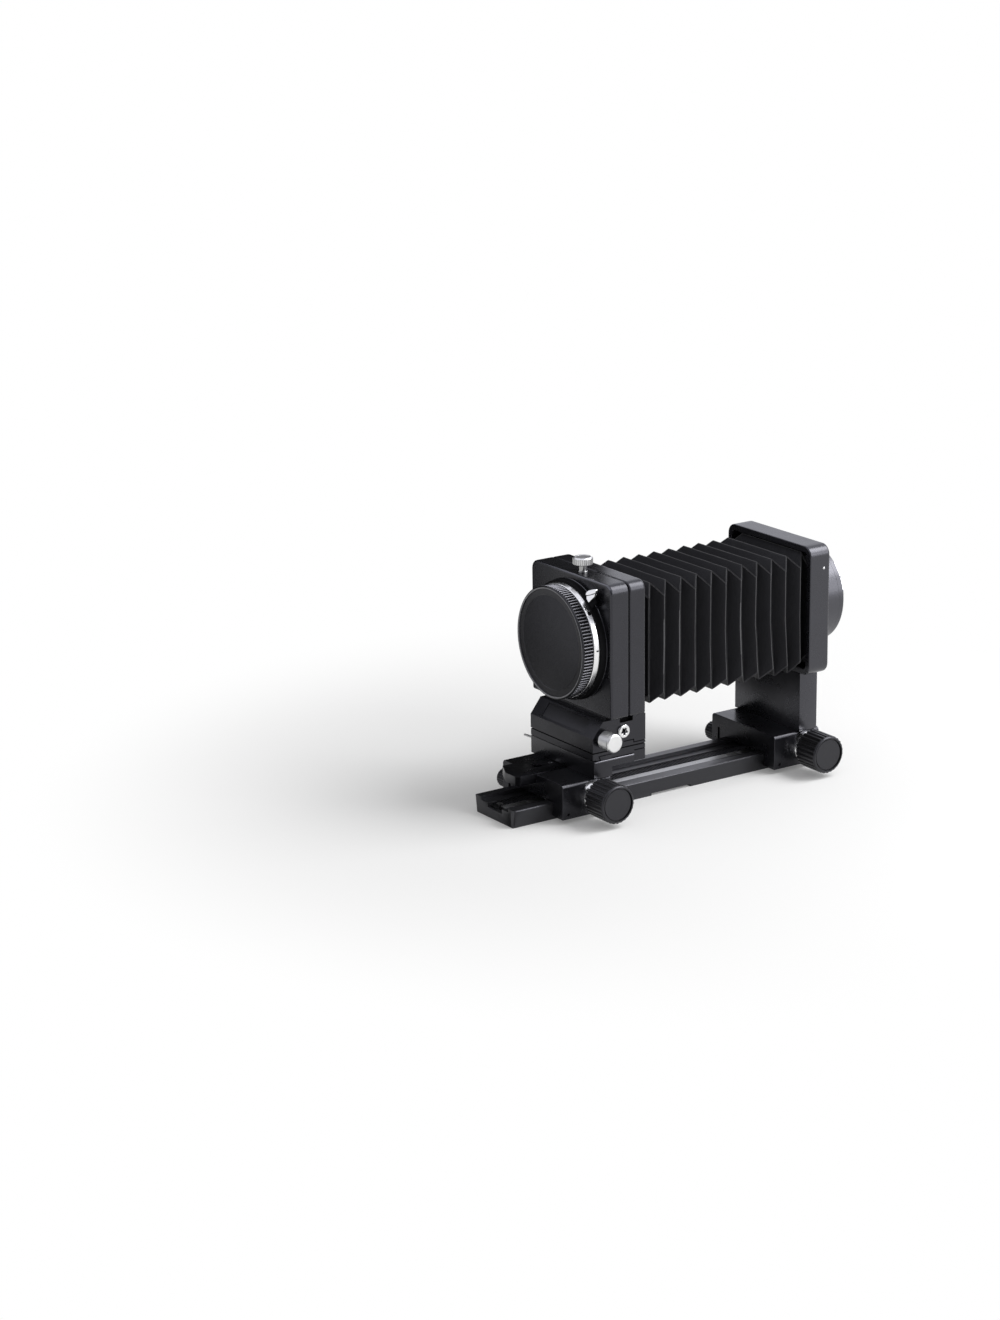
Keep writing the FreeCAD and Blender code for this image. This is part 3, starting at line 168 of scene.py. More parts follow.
# noise fields by scale, detail and roughness; which field shades the colour and how far; how much each
# field changes the gloss; which field makes the relief and how strongly
families = {
    # baked enamel: a fine orange peel, faint cloudiness, handled patches in the gloss and specks of dust
    "paint": {"fields": {"cloud": (45.0, 3.0), "peel": (620.0, 1.0), "handled": (110.0, 4.0, 0.6)},
              "shade": ("cloud", 0.8, 1.25), "blue": 1.25, "gloss": {"handled": 0.16},
              "relief": ("peel", 0.10), "dust": {"scale": 5200.0, "from": 0.70, "to": 0.78, "amount": 0.10,
                                         "tone": 0.10}},
    # drawn bar, anodised: long faint draw lines along Y
    "anodised": {"fields": {"lines": (3800.0, 3.0), "patches": (60.0, 3.0)}, "stretch": (1.0, 0.02, 1.0),
                 "shade": ("patches", 0.85, 1.2), "blue": 1.08, "gloss": {"patches": 0.12, "lines": 0.06},
                 "relief": ("lines", 0.12)},
    # anodised turning: fine rings round the lens axis
    "turning": {"fields": {"lines": (4200.0, 2.0), "patches": (80.0, 3.0)}, "stretch": (0.03, 1.0, 0.03),
                "shade": ("lines", 0.7, 1.5), "blue": 1.15, "gloss": {"patches": 0.08, "lines": 0.10},
                "relief": ("lines", 0.10)},
    # plated or turned metal with fine smudges
    "metal": {"fields": {"smudges": (160.0, 4.0, 0.6), "fine": (3200.0, 2.0)},
              "shade": ("smudges", 0.86, 1.0), "blue": 1.0, "gloss": {"smudges": 0.06},
              "relief": ("fine", 0.08)},
    # moulding with an even fine grain of pits
    "moulded": {"fields": {"soft": (300.0, 3.0)}, "shade": ("soft", 0.8, 1.3), "blue": 1.04,
                "gloss": {"soft": 0.14}},
}


def finish(name, family, tone, roughness, grain, index=1.5, shine=0.5, pits=None, **changes):
    material, graph, place = startMaterial(name)
    look = {**families[family], **changes}
    fields = {}
    for field, noise in look["fields"].items():
        laid = graph.stretched(place, look["stretch"]) if field == "lines" else place
        fields[field] = graph.noise(laid, *noise)
    field, *factors = look["shade"]
    tint = tone if isinstance(tone, tuple) else grey(tone, look["blue"])[:3]
    dark, light = [tuple(channel * factor for channel in tint) + (1.0,) for factor in factors]
    colour = graph.mixed(fields[field], dark, light)
    if "dust" in look:
        dust = look["dust"]
        specks = graph.noise(place, dust["scale"], 1.0).stepped(dust["from"], dust["to"])
        colour = graph.mixed(specks * dust["amount"], colour, grey(dust["tone"]))
    gloss = roughness
    for field, amount in look["gloss"].items():
        gloss = gloss + (fields[field] - 0.5) * amount
    if pits:
        scale, strength = pits
        relief = graph.add("ShaderNodeTexVoronoi", {"Vector": place, "Scale": scale}, feature="F1")
    else:
        field, strength = look["relief"]
        relief = fields[field]
    more = {"Metallic": 1.0} if family == "metal" else {"Specular Tint": coldTint}
    more.update({"IOR": index, "Specular IOR Level": shine})
    finishMaterial(graph, colour, gloss, graph.bumped(relief, strength, grain), more)
    return material


def foldedCloth(name, look):
    # coated bellows cloth: a woven grain that follows the folds; lighter on the creases, partly wear and
    # partly a painted highlight on the ridges; lighter on upward faces, a painted top light
    material, graph, place = startMaterial(name)
    laid = graph.add("ShaderNodeAttribute", out="Vector", attribute_name="laid")
    crease = graph.add("ShaderNodeAttribute", out="Fac", attribute_name="crease")
    across, along, _ = graph.parts(laid)
    pitch = 2 * math.pi / (look["thread"] * milli)
    weave = (across * pitch).calc("SINE") * (along * pitch).calc("SINE")
    speckle = graph.noise(laid, *look["speckle"])
    streak = graph.noise(graph.stretched(laid, look["stretch"]), *look["streak"])
    patches = graph.noise(place, *look["patches"])
    # the creases are lighter: wear mixed with a painted highlight on the ridges
    low, more = look["wear"]
    worn = (crease * (low + more * speckle) * (0.5 + patches)).clamped()
    dark, light, dust = [grey(look[tone], look["blue"]) for tone in ("dark", "light", "dustTone")]
    # upward faces are lighter: a painted top light
    _, _, up = graph.parts(graph.add("ShaderNodeNewGeometry", out="Normal"))
    topLit = graph.mixed(up.clamped() * look["dust"], graph.mixed(streak, dark, light), dust)
    colour = graph.mixed(worn, topLit, grey(look["worn"], look["wornAndHighlitBlue"]))
    duller, uneven = look["duller"]
    roughness = look["roughness"] + worn * duller + (speckle - 0.5) * uneven
    threads, specks, streaks = look["heights"]
    height = weave * threads + speckle * specks + streak * streaks
    finishMaterial(graph, colour, roughness, graph.bumped(height, *look["relief"]),
                   {"Specular IOR Level": look["shine"], "Specular Tint": coldTint})
    return material


# upward faces get a painted top light, and the creases get wear with a painted highlight on the ridges
cloth = {"thread": 0.42, "speckle": (1500.0, 2.0, 0.6), "streak": (1100.0, 3.0), "stretch": (0.12, 1.0, 1.0),
         "patches": (70.0, 4.0, 0.6), "wear": (0.45, 1.1), "dark": 0.004, "light": 0.010, "blue": 1.10,
         "worn": 0.17, "wornAndHighlitBlue": 1.04, "dust": 0.30, "dustTone": 0.06, "roughness": 0.48,
         "duller": (0.12, 0.25), "heights": (0.35, 0.8, 0.5), "relief": (0.55, 0.09), "shine": 0.25}

satinEnamel = finish("satinEnamel", "paint", 0.005, 0.29, 0.006)
frameEnamel = finish("frameEnamel", "paint", 0.006, 0.27, 0.005, 1.56)
rearEnamel = finish("rearEnamel", "paint", 0.006, 0.28, 0.005, 1.70)
edgeGloss = finish("edgeGloss", "paint", 0.006, 0.16, 0.003, 2.1)
railAnodised = finish("railAnodised", "anodised", 0.012, 0.36, 0.02, 1.53)
barrelSatin = finish("barrelSatin", "turning", 0.012, 0.30, 0.01, 1.8)
mirrorChrome = finish("mirrorChrome", "metal", 0.82, 0.07, 0.01)
satinSteel = finish("satinSteel", "metal", 0.50, 0.30, 0.01)
# a darker copy of the satin silver for the side knob's knurl: painted shade
knurlSilverPaintedShade = finish("knurlSilverPaintedShade", "metal", 0.64, 0.36, 0.01)
# a darker copy of the satin silver for the clamp's ribs: painted shade
clampSilverPaintedShade = finish("clampSilverPaintedShade", "metal", 0.46, 0.33, 0.01)
satinSilver = finish("satinSilver", "metal", 0.82, 0.36, 0.01)
collarChrome = finish("collarChrome", "metal", 0.88, 0.20, 0.0008)
ringChrome = finish("ringChrome", "metal", 0.90, 0.24, 0.0002, gloss={"smudges": 0.03})
# a darker copy of the steel for the clamp's neck: a painted dark reflection
neckSteelPaintedShade = finish("neckSteelPaintedShade", "metal", 0.34, 0.16, 0.004)
scaleSatin = finish("scaleSatin", "metal", 0.48, 0.36, 0.012, gloss={"smudges": 0.10})
turnedBrass = finish("turnedBrass", "metal", (0.62, 0.47, 0.22), 0.28, 0.01)
knobBlack = finish("knobBlack", "moulded", 0.009, 0.33, 0.010, pits=(900.0, 0.15))
capBlack = finish("capBlack", "moulded", 0.008, 0.30, 0.010, pits=(2200.0, 0.15))
# a lighter, glossier copy of the cap's black for its ribs: a painted highlight
ribBlackPaintedHighlight = finish("ribBlackPaintedHighlight", "moulded", 0.012, 0.24, 0.003, 1.85, pits=(2200.0, 0.03))
# a very dark matte black: the colour of joints, marks and the lever's arm, and also painted shade on the
# boss, between the cap's ribs and under the slab on the swing block
deepBlack = finish("deepBlack", "moulded", 0.003, 0.75, 0.020, shine=0.12, pits=(2000.0, 0.3))
# a grey on the cap's rim: a painted highlight line
capEdge = finish("capEdge", "moulded", 0.23, 0.40, 0.010, pits=(2200.0, 0.15))
capGrain = finish("capGrain", "moulded", 0.008, 0.55, 0.07, pits=(1700.0, 0.8))
nameBlack = finish("nameBlack", "moulded", 0.012, 0.45, 0.020, pits=(2600.0, 0.3))
insideBlack = finish("insideBlack", "moulded", 0.012, 0.55, 0.02, pits=(1800.0, 0.4))
scaleMark = finish("scaleMark", "moulded", 0.62, 0.5, 0.005, pits=(2400.0, 0.1))
bellowsCloth = foldedCloth("bellowsCloth", cloth)
print("finishes ready")


# Meshes

# angles in degrees over which an edge is shaded sharp
sharp = {"turned": 40, "ring": 50, "cut": 35, "cloth": 38, "flange": 45}


@contextmanager
def reworked(mesh):
    # opens a mesh for changes and writes them back
    work = bmesh.new()
    work.from_mesh(mesh)
    yield work
    work.to_mesh(mesh)
    work.free()


def standing(name, data):
    # a new object in the scene
    thing = bpy.data.objects.new(name, data)
    bpy.context.scene.collection.objects.link(thing)
    return thing


def settled(holder, *tools):
    # the finished mesh of a scratch object, which then goes with its tools
    evaluated = holder.evaluated_get(bpy.context.evaluated_depsgraph_get())
    result = bpy.data.meshes.new_from_object(evaluated)
    for one in (*tools, holder):
        bpy.data.objects.remove(one)
    return result


def painted(mesh, *materials):
    # the first material on every face; the others are there for faces chosen later
    mesh.materials.clear()
    for one in materials:
        mesh.materials.append(one)
    for face in mesh.polygons:
        face.material_index = 0
    return mesh


def banded(mesh, material, where):
    # another material on the faces that a test of their middle, in millimetres, and their normal picks
    mesh.materials.append(material)
    for face in mesh.polygons:
        if where(face.center / milli, face.normal):
            face.material_index = len(mesh.materials) - 1


def ridePiece(mesh, body, node=None, kind=None, name=None):
    # puts a finished mesh in the scene, to stand for a node: frontSlab stands for front_slab; a piece with
    # no body is left unattached
    first, *rest = (node or name).split("_")
    piece = standing(name or first + "".join(word.capitalize() for word in rest), mesh)
    for face in mesh.polygons:
        face.use_smooth = True
    if kind:
        mesh.set_sharp_from_angle(angle=math.radians(sharp[kind]))
    if body:
        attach(piece, body)
    if node:
        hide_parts(node)
    return piece


def softened(piece, width, angle=35, segments=3, harden=True):
    # a live bevel on the sharp edges
    bevel = piece.modifiers.new("soft edges", "BEVEL")
    bevel.width = width * milli
    bevel.segments = segments
    bevel.limit_method = "ANGLE"
    bevel.angle_limit = math.radians(angle)
    bevel.harden_normals = harden


def boxOf(node):
    return [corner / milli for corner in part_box(node)]


def middleOf(node, axis):
    # the middle of a node's box, put at zero along the axis that its piece is measured on
    low, high = boxOf(node)
    middle = (low + high) / 2
    middle[axis] = 0.0
    return middle


def closedMesh(points, faces, material):
    # merges doubles and turns every face outwards; points are in millimetres
    mesh = bpy.data.meshes.new("shape")
    mesh.from_pydata([Vector(point) * milli for point in points], [], faces)
    with reworked(mesh) as work:
        bmesh.ops.remove_doubles(work, verts=work.verts, dist=sameSpot)
        bmesh.ops.recalc_face_normals(work, faces=work.faces)
    mesh.materials.append(material)
    return mesh


def rounded(stations, radii, steps=4, support=0.10):
    # swaps each station with a radius for an arc between its neighbours, with a close support on both sides
    result = []
    for i, (station, radius) in enumerate(zip(stations, radii)):
        if not radius:
            result.append(station)
            continue
        before, after = stations[i - 1], stations[(i + 1) % len(stations)]
        loops = [[] for _ in range(steps + 3)]
        for a, b, c in zip(before, station, after):
            one, two = (a - b), (c - b)
            first = b + one.normalized() * min(radius, one.length * 0.49)
            last = b + two.normalized() * min(radius, two.length * 0.49)
            loops[0].append(first + one.normalized() * min(support, one.length * 0.2))
            for k in range(steps + 1):
                t = k / steps
                loops[1 + k].append(first * (1 - t) ** 2 + b * (2 * t * (1 - t)) + last * t ** 2)
            loops[-1].append(last + two.normalized() * min(support, two.length * 0.2))
        result += loops
    return result


def lofted(stations, radii, material, closed=False):
    # skins rings of equal length; a closed one joins its last ring to its first, an open one gets flat ends
    rings = rounded(stations, radii)
    size = len(rings[0])
    points = [point for ring in rings for point in ring]
    faces = []
    for i in range(len(rings) if closed else len(rings) - 1):
        a, b = i * size, ((i + 1) % len(rings)) * size
        for k in range(size):
            faces.append((a + k, a + (k + 1) % size, b + (k + 1) % size, b + k))
    if not closed:
        for start in (0, (len(rings) - 1) * size):
            if (points[start] - points[start + size // 2]).length > 0.01:
                faces.append(tuple(range(start, start + size)))
    return closedMesh(points, faces, material)


def aroundAngles(corner, perSide, perCorner):
    # angles of a loop about the lens axis, closer together at the four corners of a slab
    low, high = math.radians(45 - corner), math.radians(45 + corner)
    quarter = [low * i / perSide for i in range(perSide)]
    quarter += [low + (high - low) * i / perCorner for i in range(perCorner)]
    quarter += [high + (math.pi / 2 - high) * i / perSide for i in range(perSide)]
    return [angle + math.pi / 2 * side for side in range(4) for angle in quarter]


slabAngles = aroundAngles(4.6, 15, 9)


def slabLoop(y, half, high, upper, lower=None):
    # a rounded rectangle about the lens axis, met by rays at the given angles
    loop = []
    for angle in slabAngles:
        c, s = math.cos(angle), math.sin(angle)
        corner = lower if lower is not None and s < 0 else upper
        reach = min(half / abs(c) if abs(c) > 1e-9 else 1e9, high / abs(s) if abs(s) > 1e-9 else 1e9)
        x, z = reach * c, reach * s
        cx, cz = half - corner, high - corner
        if abs(x) > cx and abs(z) > cz:
            ox, oz = math.copysign(cx, c), math.copysign(cz, s)
            mid = c * ox + s * oz
            reach = mid + math.sqrt(max(0.0, mid * mid - (ox * ox + oz * oz - corner * corner)))
            x, z = reach * c, reach * s
        loop.append(Vector((x, y, lensAxis + z)))
    return loop


def roundLoop(y, radius):
    return [Vector((radius * math.cos(a), y, lensAxis + radius * math.sin(a))) for a in slabAngles]


def ringSolid(rows, material):
    # closed about the lens axis; a row is a rounding, then y and a radius, or y and a slab's half width,
    # half height, upper corner and lower corner
    stations = [(roundLoop if len(row) == 3 else slabLoop)(*row[1:]) for row in rows]
    return lofted(stations, [row[0] for row in rows], material, closed=True)


def turned(profile, material, segments, petals=0):
    # a profile's points are (radius, height, rounding) about the local Z axis; a hole with petals is closed,
    # and its points may end with how deep they are
    stations = []
    for radius, height, _, *lobe in profile:
        ring = []
        for k in range(segments):
            angle = 2 * math.pi * k / segments
            reach = radius + sum(lobe) * math.cos(petals * angle)
            ring.append(Vector((reach * math.cos(angle), reach * math.sin(angle), height)))
        stations.append(ring)
    return lofted(stations, [point[2] for point in profile], material, petals > 0)


def placed(mesh, origin, direction):
    # stands a mesh built along local Z at a place, along +X, -X, +Y, -Y or +Z
    turns = {"+X": (90, "Y"), "-X": (-90, "Y"), "+Y": (-90, "X"), "-Y": (90, "X"), "+Z": (0, "X")}
    degrees, axis = turns[direction]
    turn = Matrix.Rotation(math.radians(degrees), 4, axis)
    mesh.transform(Matrix.Translation(Vector(origin) * milli) @ turn)
    return mesh


def turnedMesh(look, direction, origin):
    # a turned piece with its bands of other materials, by radius and height, and its ribs or knurl
    mesh = turned(look["profile"], look["coat"], look.get("segments", 96), look.get("petals", 0))
    for material, (inner, outer), (low, high) in look.get("bands", []):
        banded(mesh, material, lambda at, _: inner < math.hypot(at.x, at.y) < outer and low < at.z < high)
    if "relief" in look:
        mesh = grown(mesh, look["relief"], look, look["reliefCoat"])
    return placed(mesh, origin, direction)


def turnedPiece(node, look, body, way="+X", about=None):
    # a turned piece on the axis of its own node, or of another one
    centre = middleOf(about or node, 2 if way == "+Z" else 0)
    ridePiece(turnedMesh(look, way, centre), body, node, "turned")


def prism(outline, ys, material, back=lambda x, z: 0.0):
    # an outline of (x, z) drawn out from one y to another
    size = len(outline)
    points = [(x, y + back(x, z), z) for y in ys for x, z in outline]
    faces = [tuple(range(size)), tuple(range(size, 2 * size))]
    faces += [(k, (k + 1) % size, size + (k + 1) % size, size + k) for k in range(size)]
    return closedMesh(points, faces, material)


def block(x, y, z):
    # a plain box between two x, two y and two z
    return prism([(x[0], z[0]), (x[1], z[0]), (x[1], z[1]), (x[0], z[1])], y, satinEnamel)


def drill(radius, low, high, origin, direction, segments):
    profile = [(0, low, 0), (radius, low, 0), (radius, high, 0), (0, high, 0)]
    return placed(turned(profile, satinEnamel, segments), origin, direction)


def sectorMesh(y, radii, middle, span, material, parts=14):
    # a short ring segment about the lens axis; its middle and span are in degrees
    (y0, y1), (inner, outer) = y, radii
    points, faces = [], []
    for i in range(parts + 1):
        a = math.radians(middle - span / 2 + span * i / parts)
        for at, r in ((y0, inner), (y0, outer), (y1, outer), (y1, inner)):
            points.append((r * math.cos(a), at, lensAxis + r * math.sin(a)))
    for i in range(parts):
        b = i * 4
        for k in range(4):
            faces.append((b + k, b + (k + 1) % 4, b + 4 + (k + 1) % 4, b + 4 + k))
    faces += [(0, 1, 2, 3), tuple(parts * 4 + k for k in (0, 1, 2, 3))]
    return closedMesh(points, faces, material)


def lugs(look, material):
    # the three lugs of a bayonet
    return [sectorMesh(look["y"], look["radii"], look["first"] + 120 * i, look["span"], material)
            for i in range(3)]


def merged(meshes):
    # several meshes as one, keeping their materials
    result, found = bpy.data.meshes.new("merged"), []
    with reworked(result) as work:
        for mesh in meshes:
            before = len(work.faces)
            work.from_mesh(mesh)
            work.faces.ensure_lookup_table()
            for face in work.faces[before:]:
                own = mesh.materials[face.material_index]
                if own not in found:
                    found.append(own)
                face.material_index = found.index(own)
    for own in found:
        result.materials.append(own)
    return result


def nodeCopy(node, flat=0.6):
    # a merged copy of a node with its flat faces whole again
    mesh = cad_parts[node].data.copy()
    with reworked(mesh) as work:
        bmesh.ops.remove_doubles(work, verts=work.verts, dist=sameSpot)
        bmesh.ops.dissolve_limit(work, angle_limit=math.radians(flat), verts=work.verts, edges=work.edges)
    return mesh


def machined(node, material, body, slotName, width):
    # a copy of a node with its sharp edges broken
    mesh = painted(nodeCopy(node), material)
    softened(ridePiece(mesh, body, node, None, node + ".machined"), width)


def cutShape(node, mesh, cutters, width, body, inner=satinEnamel, shaded=(), skin=1e-6):
    # a mesh with its edges broken first and then cut by each cutter, so that cuts stay crisp; faces within a
    # cutter get the inner material, and so do faces within a shaded box, which paints shade there with no cut
    holder = standing(node, painted(mesh, satinEnamel))
    softened(holder, width, harden=False)
    tools = [standing("cutter", cutter) for cutter in cutters]
    for tool in tools:
        cut = holder.modifiers.new("cut", "BOOLEAN")
        cut.operation, cut.solver, cut.object = "DIFFERENCE", "EXACT", tool
    result = painted(settled(holder, *tools), satinEnamel, inner)
    rooms = []
    for cutter in (*cutters, *shaded):
        spans = [[vertex.co[i] for vertex in cutter.vertices] for i in range(3)]
        rooms.append([(min(span) - skin, max(span) + skin) for span in spans])
    for face in result.polygons:
        inside = [all(low < at < high for at, (low, high) in zip(face.center, room)) for room in rooms]
        face.material_index = int(any(inside))
    piece = ridePiece(result, body, node, "cut", node + ".machined")
    piece.modifiers.new("flat faces", "WEIGHTED_NORMAL").keep_sharp = True


def dress(material, *nodes):
    # a node whose shape is right keeps it and gets its finish
    for node in nodes:
        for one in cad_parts[node].material_slots:
            one.material = material


# Node trees for what repeats; inputs that count and plain factors are named here, the rest are lengths

whole = ("count", "rows", "columns")
factors = ("finish", "first", "last", "levels", "stretch")


def startTree(name, labels):
    # a tree with named inputs, and a wire from each
    tree = bpy.data.node_groups.new(name, "GeometryNodeTree")
    labels = ["base", "finish", *labels.split()]
    kinds = {"base": "Geometry", "finish": "Material", **{label: "Int" for label in whole}}
    for label in labels:
        kind = "NodeSocket" + kinds.get(label, "Float")
        tree.interface.new_socket(label, in_out="INPUT", socket_type=kind)
    tree.interface.new_socket("result", in_out="OUTPUT", socket_type="NodeSocketGeometry")
    graph = Graph(tree)
    base = graph.add("NodeGroupInput", out="base")
    return tree, graph, SimpleNamespace(**{label: base.other(label) for label in labels})


def finishTree(graph, geometry, given, joined=False):
    # the new part is made real and gets its finish, then joins what it grew on
    real = graph.add("GeometryNodeRealizeInstances", {"Geometry": geometry})
    dressed = graph.add("GeometryNodeSetMaterial", {"Geometry": real, "Material": given.finish})
    if joined:
        dressed = graph.add("GeometryNodeJoinGeometry", {"Geometry": [given.base, dressed]})
    graph.add("NodeGroupOutput", {"result": dressed})


def grown(mesh, tree, values, coat):
    # runs a tree on a mesh and keeps the result as a plain mesh
    holder = standing("holder", mesh or bpy.data.meshes.new("empty"))
    modifier = holder.modifiers.new("grow", "NODES")
    modifier.node_group = tree
    values = {**values, "finish": coat}
    for item in tree.interface.items_tree:
        if item.in_out == "INPUT" and item.name in values:
            value = values[item.name]
            modifier[item.identifier] = value if item.name in whole + factors else value * milli
    return settled(holder)


def setRound(graph, angle, radius, level, count, shape, scale, axis, pivot):
    # copies of a shape on a barrel about local Z, each facing outwards
    cosine, sine = angle.calc("COSINE"), angle.calc("SINE")
    place = graph.combined(cosine * radius, sine * radius, level)
    points = graph.add("GeometryNodePoints", {"Count": count, "Position": place})
    shaped = graph.add("GeometryNodeTransform", {"Geometry": shape, "Scale": graph.combined(*scale)})
    facing = graph.add("FunctionNodeAlignRotationToVector", {"Vector": graph.combined(cosine, sine, 0.0)},
                       axis=axis, pivot_axis=pivot)
    return graph.add("GeometryNodeInstanceOnPoints", {"Points": points, "Instance": shaped,
                                                      "Rotation": facing})


def turnedRibs():
    # half round ribs along local Z, set round a barrel
    tree, graph, given = startTree("turnedRibs", "count radius bottom length height width")
    angle = graph.add("GeometryNodeInputIndex") * (2 * math.pi) / given.count
    rib = graph.add("GeometryNodeMeshCylinder", {"Vertices": 16, "Radius": 1.0, "Depth": 1.0},
                    fill_type="NGON")
    ribs = setRound(graph, angle, given.radius, given.bottom + given.length * 0.5, given.count, rib,
                    (given.height, given.width * 0.5, given.length), "X", "Z")
    finishTree(graph, ribs, given, True)
    return tree


def diamondKnurl():
    # low four-sided points in staggered rows round a barrel
    tree, graph, given = startTree("diamondKnurl", "count rows radius bottom pitch height width")
    index = graph.add("GeometryNodeInputIndex")
    row = (index / given.count).calc("FLOOR")
    angle = (index + row.calc("MODULO", 2.0) * 0.5) * (2 * math.pi) / given.count
    point = graph.add("GeometryNodeMeshCone", {"Vertices": 4, "Radius Top": 0.12, "Radius Bottom": 1.0,
                                               "Depth": 1.0}, fill_type="NONE")
    knurl = setRound(graph, angle, given.radius, given.bottom + row * given.pitch, given.count * given.rows,
                     point, (given.pitch, given.width, given.height), "Z", "AUTO")
    finishTree(graph, knurl, given, True)
    return tree


def tickRow():
    # graduation lines along Y, longer at every fifth and longest at every tenth
    tree, graph, given = startTree("tickRow", "count pitch start edge short step width lift thick")
    index = graph.add("GeometryNodeInputIndex")
    fifth, tenth = [1.0 - index.calc("MODULO", every).clamped() for every in (5.0, 10.0)]
    length = given.short + given.step * (fifth + tenth)
    place = graph.combined(given.edge - length * 0.5, given.start + index * given.pitch, given.lift)
    points = graph.add("GeometryNodePoints", {"Count": given.count, "Position": place})
    line = graph.add("GeometryNodeMeshCube", {"Size": (1.0, 1.0, 1.0)})
    long = graph.add("GeometryNodeInputNamedAttribute", {"Name": "long"}, data_type="FLOAT")
    lines = graph.add("GeometryNodeInstanceOnPoints", {
        "Points": graph.stored(points, "long", "FLOAT", length), "Instance": line,
        "Scale": graph.combined(long, given.width, given.thick)})
    finishTree(graph, lines, given)
    return tree


# how high and round a ridge is, over how much of the tube the ends hold it, how far the lean and the hang
# reach, the grain of the stir, and where the creases and the cloth's own coordinates lie
foldLook = {"high": 1.028, "round": 0.0008, "hold": 0.25, "lean": 1.3, "hang": 0.7, "stir": 55.0,
            "corner": 0.985, "cornerWear": 0.7, "ridge": 0.93, "valleyWear": 0.25, "apart": 0.08,
            "long": 0.0080, "sew": 0.00002}


def pleats(look):
    # a folded square tube about the lens axis, from one fold level to another; even levels are side ridges
    tree, graph, given = startTree("pleats", "first last rows columns ridgeStart halfPitch valley depth axis "
                                   "levels lead tail leanFront leanRear sag wander drop stretch")
    grid = graph.add("GeometryNodeMeshGrid", {"Size X": 1.0, "Size Y": 1.0, "Vertices X": given.rows,
                                              "Vertices Y": given.columns})
    u, v, _ = graph.parts(graph.add("GeometryNodeInputPosition"))
    even = given.first + (u + 0.5) * (given.last - given.first)
    below = (even + 0.0001).calc("FLOOR")
    level = below + (1.0 - ((even - below) * math.pi).calc("COSINE")) * 0.5
    inside = level.clamped(0.0, given.levels)
    y = (given.ridgeStart + inside * given.halfPitch + level.calc("MINIMUM", 0.0) * given.lead
         + (level - given.levels).calc("MAXIMUM", 0.0) * given.tail)
    # triangle waves with a slightly rounded ridge, for the sides and for the top and bottom
    sideWave = (1.0 - (level + 2.0).calc("MODULO", 2.0)).calc("ABSOLUTE")
    topWave = 1.0 - sideWave
    sideRidge, topRidge = [look["high"] - (one * one + look["round"]).calc("SQRT")
                           for one in (topWave, sideWave)]
    halfSide = given.valley + given.depth * sideRidge.clamped() * (level + 1.0).clamped()
    halfTop = given.valley + given.depth * topRidge.clamped() * (given.levels + 1.0 - level).clamped()
    turn = (v + 0.5) * 4.0
    side = ((v + 0.5) * 3.99999).calc("FLOOR")
    s = 0.0 - ((turn - side) * math.pi).calc("COSINE")
    parity = side.calc("MODULO", 2.0)
    wave = sideWave + (topWave - sideWave) * parity
    sagging = given.sag * (1.0 - s * s) * (wave * (1.0 - wave) * 4.0)
    facing = halfSide + (halfTop - halfSide) * parity - sagging
    cross = halfTop + (halfSide - halfTop) * parity
    cosine, sine = (side * (math.pi / 2)).calc("COSINE"), (side * (math.pi / 2)).calc("SINE")
    x = cosine * facing - sine * s * cross
    z = sine * facing + cosine * s * cross
    lean = given.leanFront + (given.leanRear - given.leanFront) * (inside / given.levels).clamped()
    ends = (level * look["hold"]).clamped() * ((given.levels - level) * look["hold"]).clamped()
    y = y + lean * ((0.0 - z) / given.valley).clamped(0.0, look["lean"]) * ends
    # the tube hangs a little below the axis, except in the rear frame
    z = z - (given.drop - z * given.stretch) * ((given.levels - level) * look["hang"]).clamped()
    place = graph.combined(x, y, z + given.axis)
    stir = graph.add("ShaderNodeTexNoise", {"Vector": place, "Scale": look["stir"], "Detail": 2.0},
                     "Color")
    stir = graph.add("ShaderNodeVectorMath", {0: stir, 1: (0.5, 0.5, 0.5)}, operation="SUBTRACT")
    stir = graph.add("ShaderNodeVectorMath", {0: stir, "Scale": given.wander * ends * 2.0}, operation="SCALE")
    place = graph.add("ShaderNodeVectorMath", {0: place, 1: stir}, operation="ADD")
    # how close a point is to a ridge or a corner, and where it lies on the cloth
    edge = s.calc("ABSOLUTE").stepped(look["corner"], 1.0) * look["cornerWear"]
    valleyLine = (1.0 - wave).stepped(look["ridge"], 1.0) * look["valleyWear"]
    crease = edge.calc("MAXIMUM", wave.stepped(look["ridge"], 1.0)).calc("MAXIMUM", valleyLine)
    laid = graph.combined(side * look["apart"] + s * cross, level * look["long"], 0.0)
    named = graph.stored(graph.stored(grid, "crease", "FLOAT", crease), "laid", "FLOAT_VECTOR", laid)
    folded = graph.add("GeometryNodeSetPosition", {"Geometry": named, "Position": place})
    sewn = graph.add("GeometryNodeMergeByDistance", {"Geometry": folded, "Distance": look["sew"]})
    finishTree(graph, sewn, given)
    return tree


ribsTree, knurlTree, ticksTree, pleatsTree = turnedRibs(), diamondKnurl(), tickRow(), pleats(foldLook)
print("node trees ready")


# Pieces that keep their node's shape: those with broken edges by finish, body, slot and width of the edge,
# then those that get only a finish

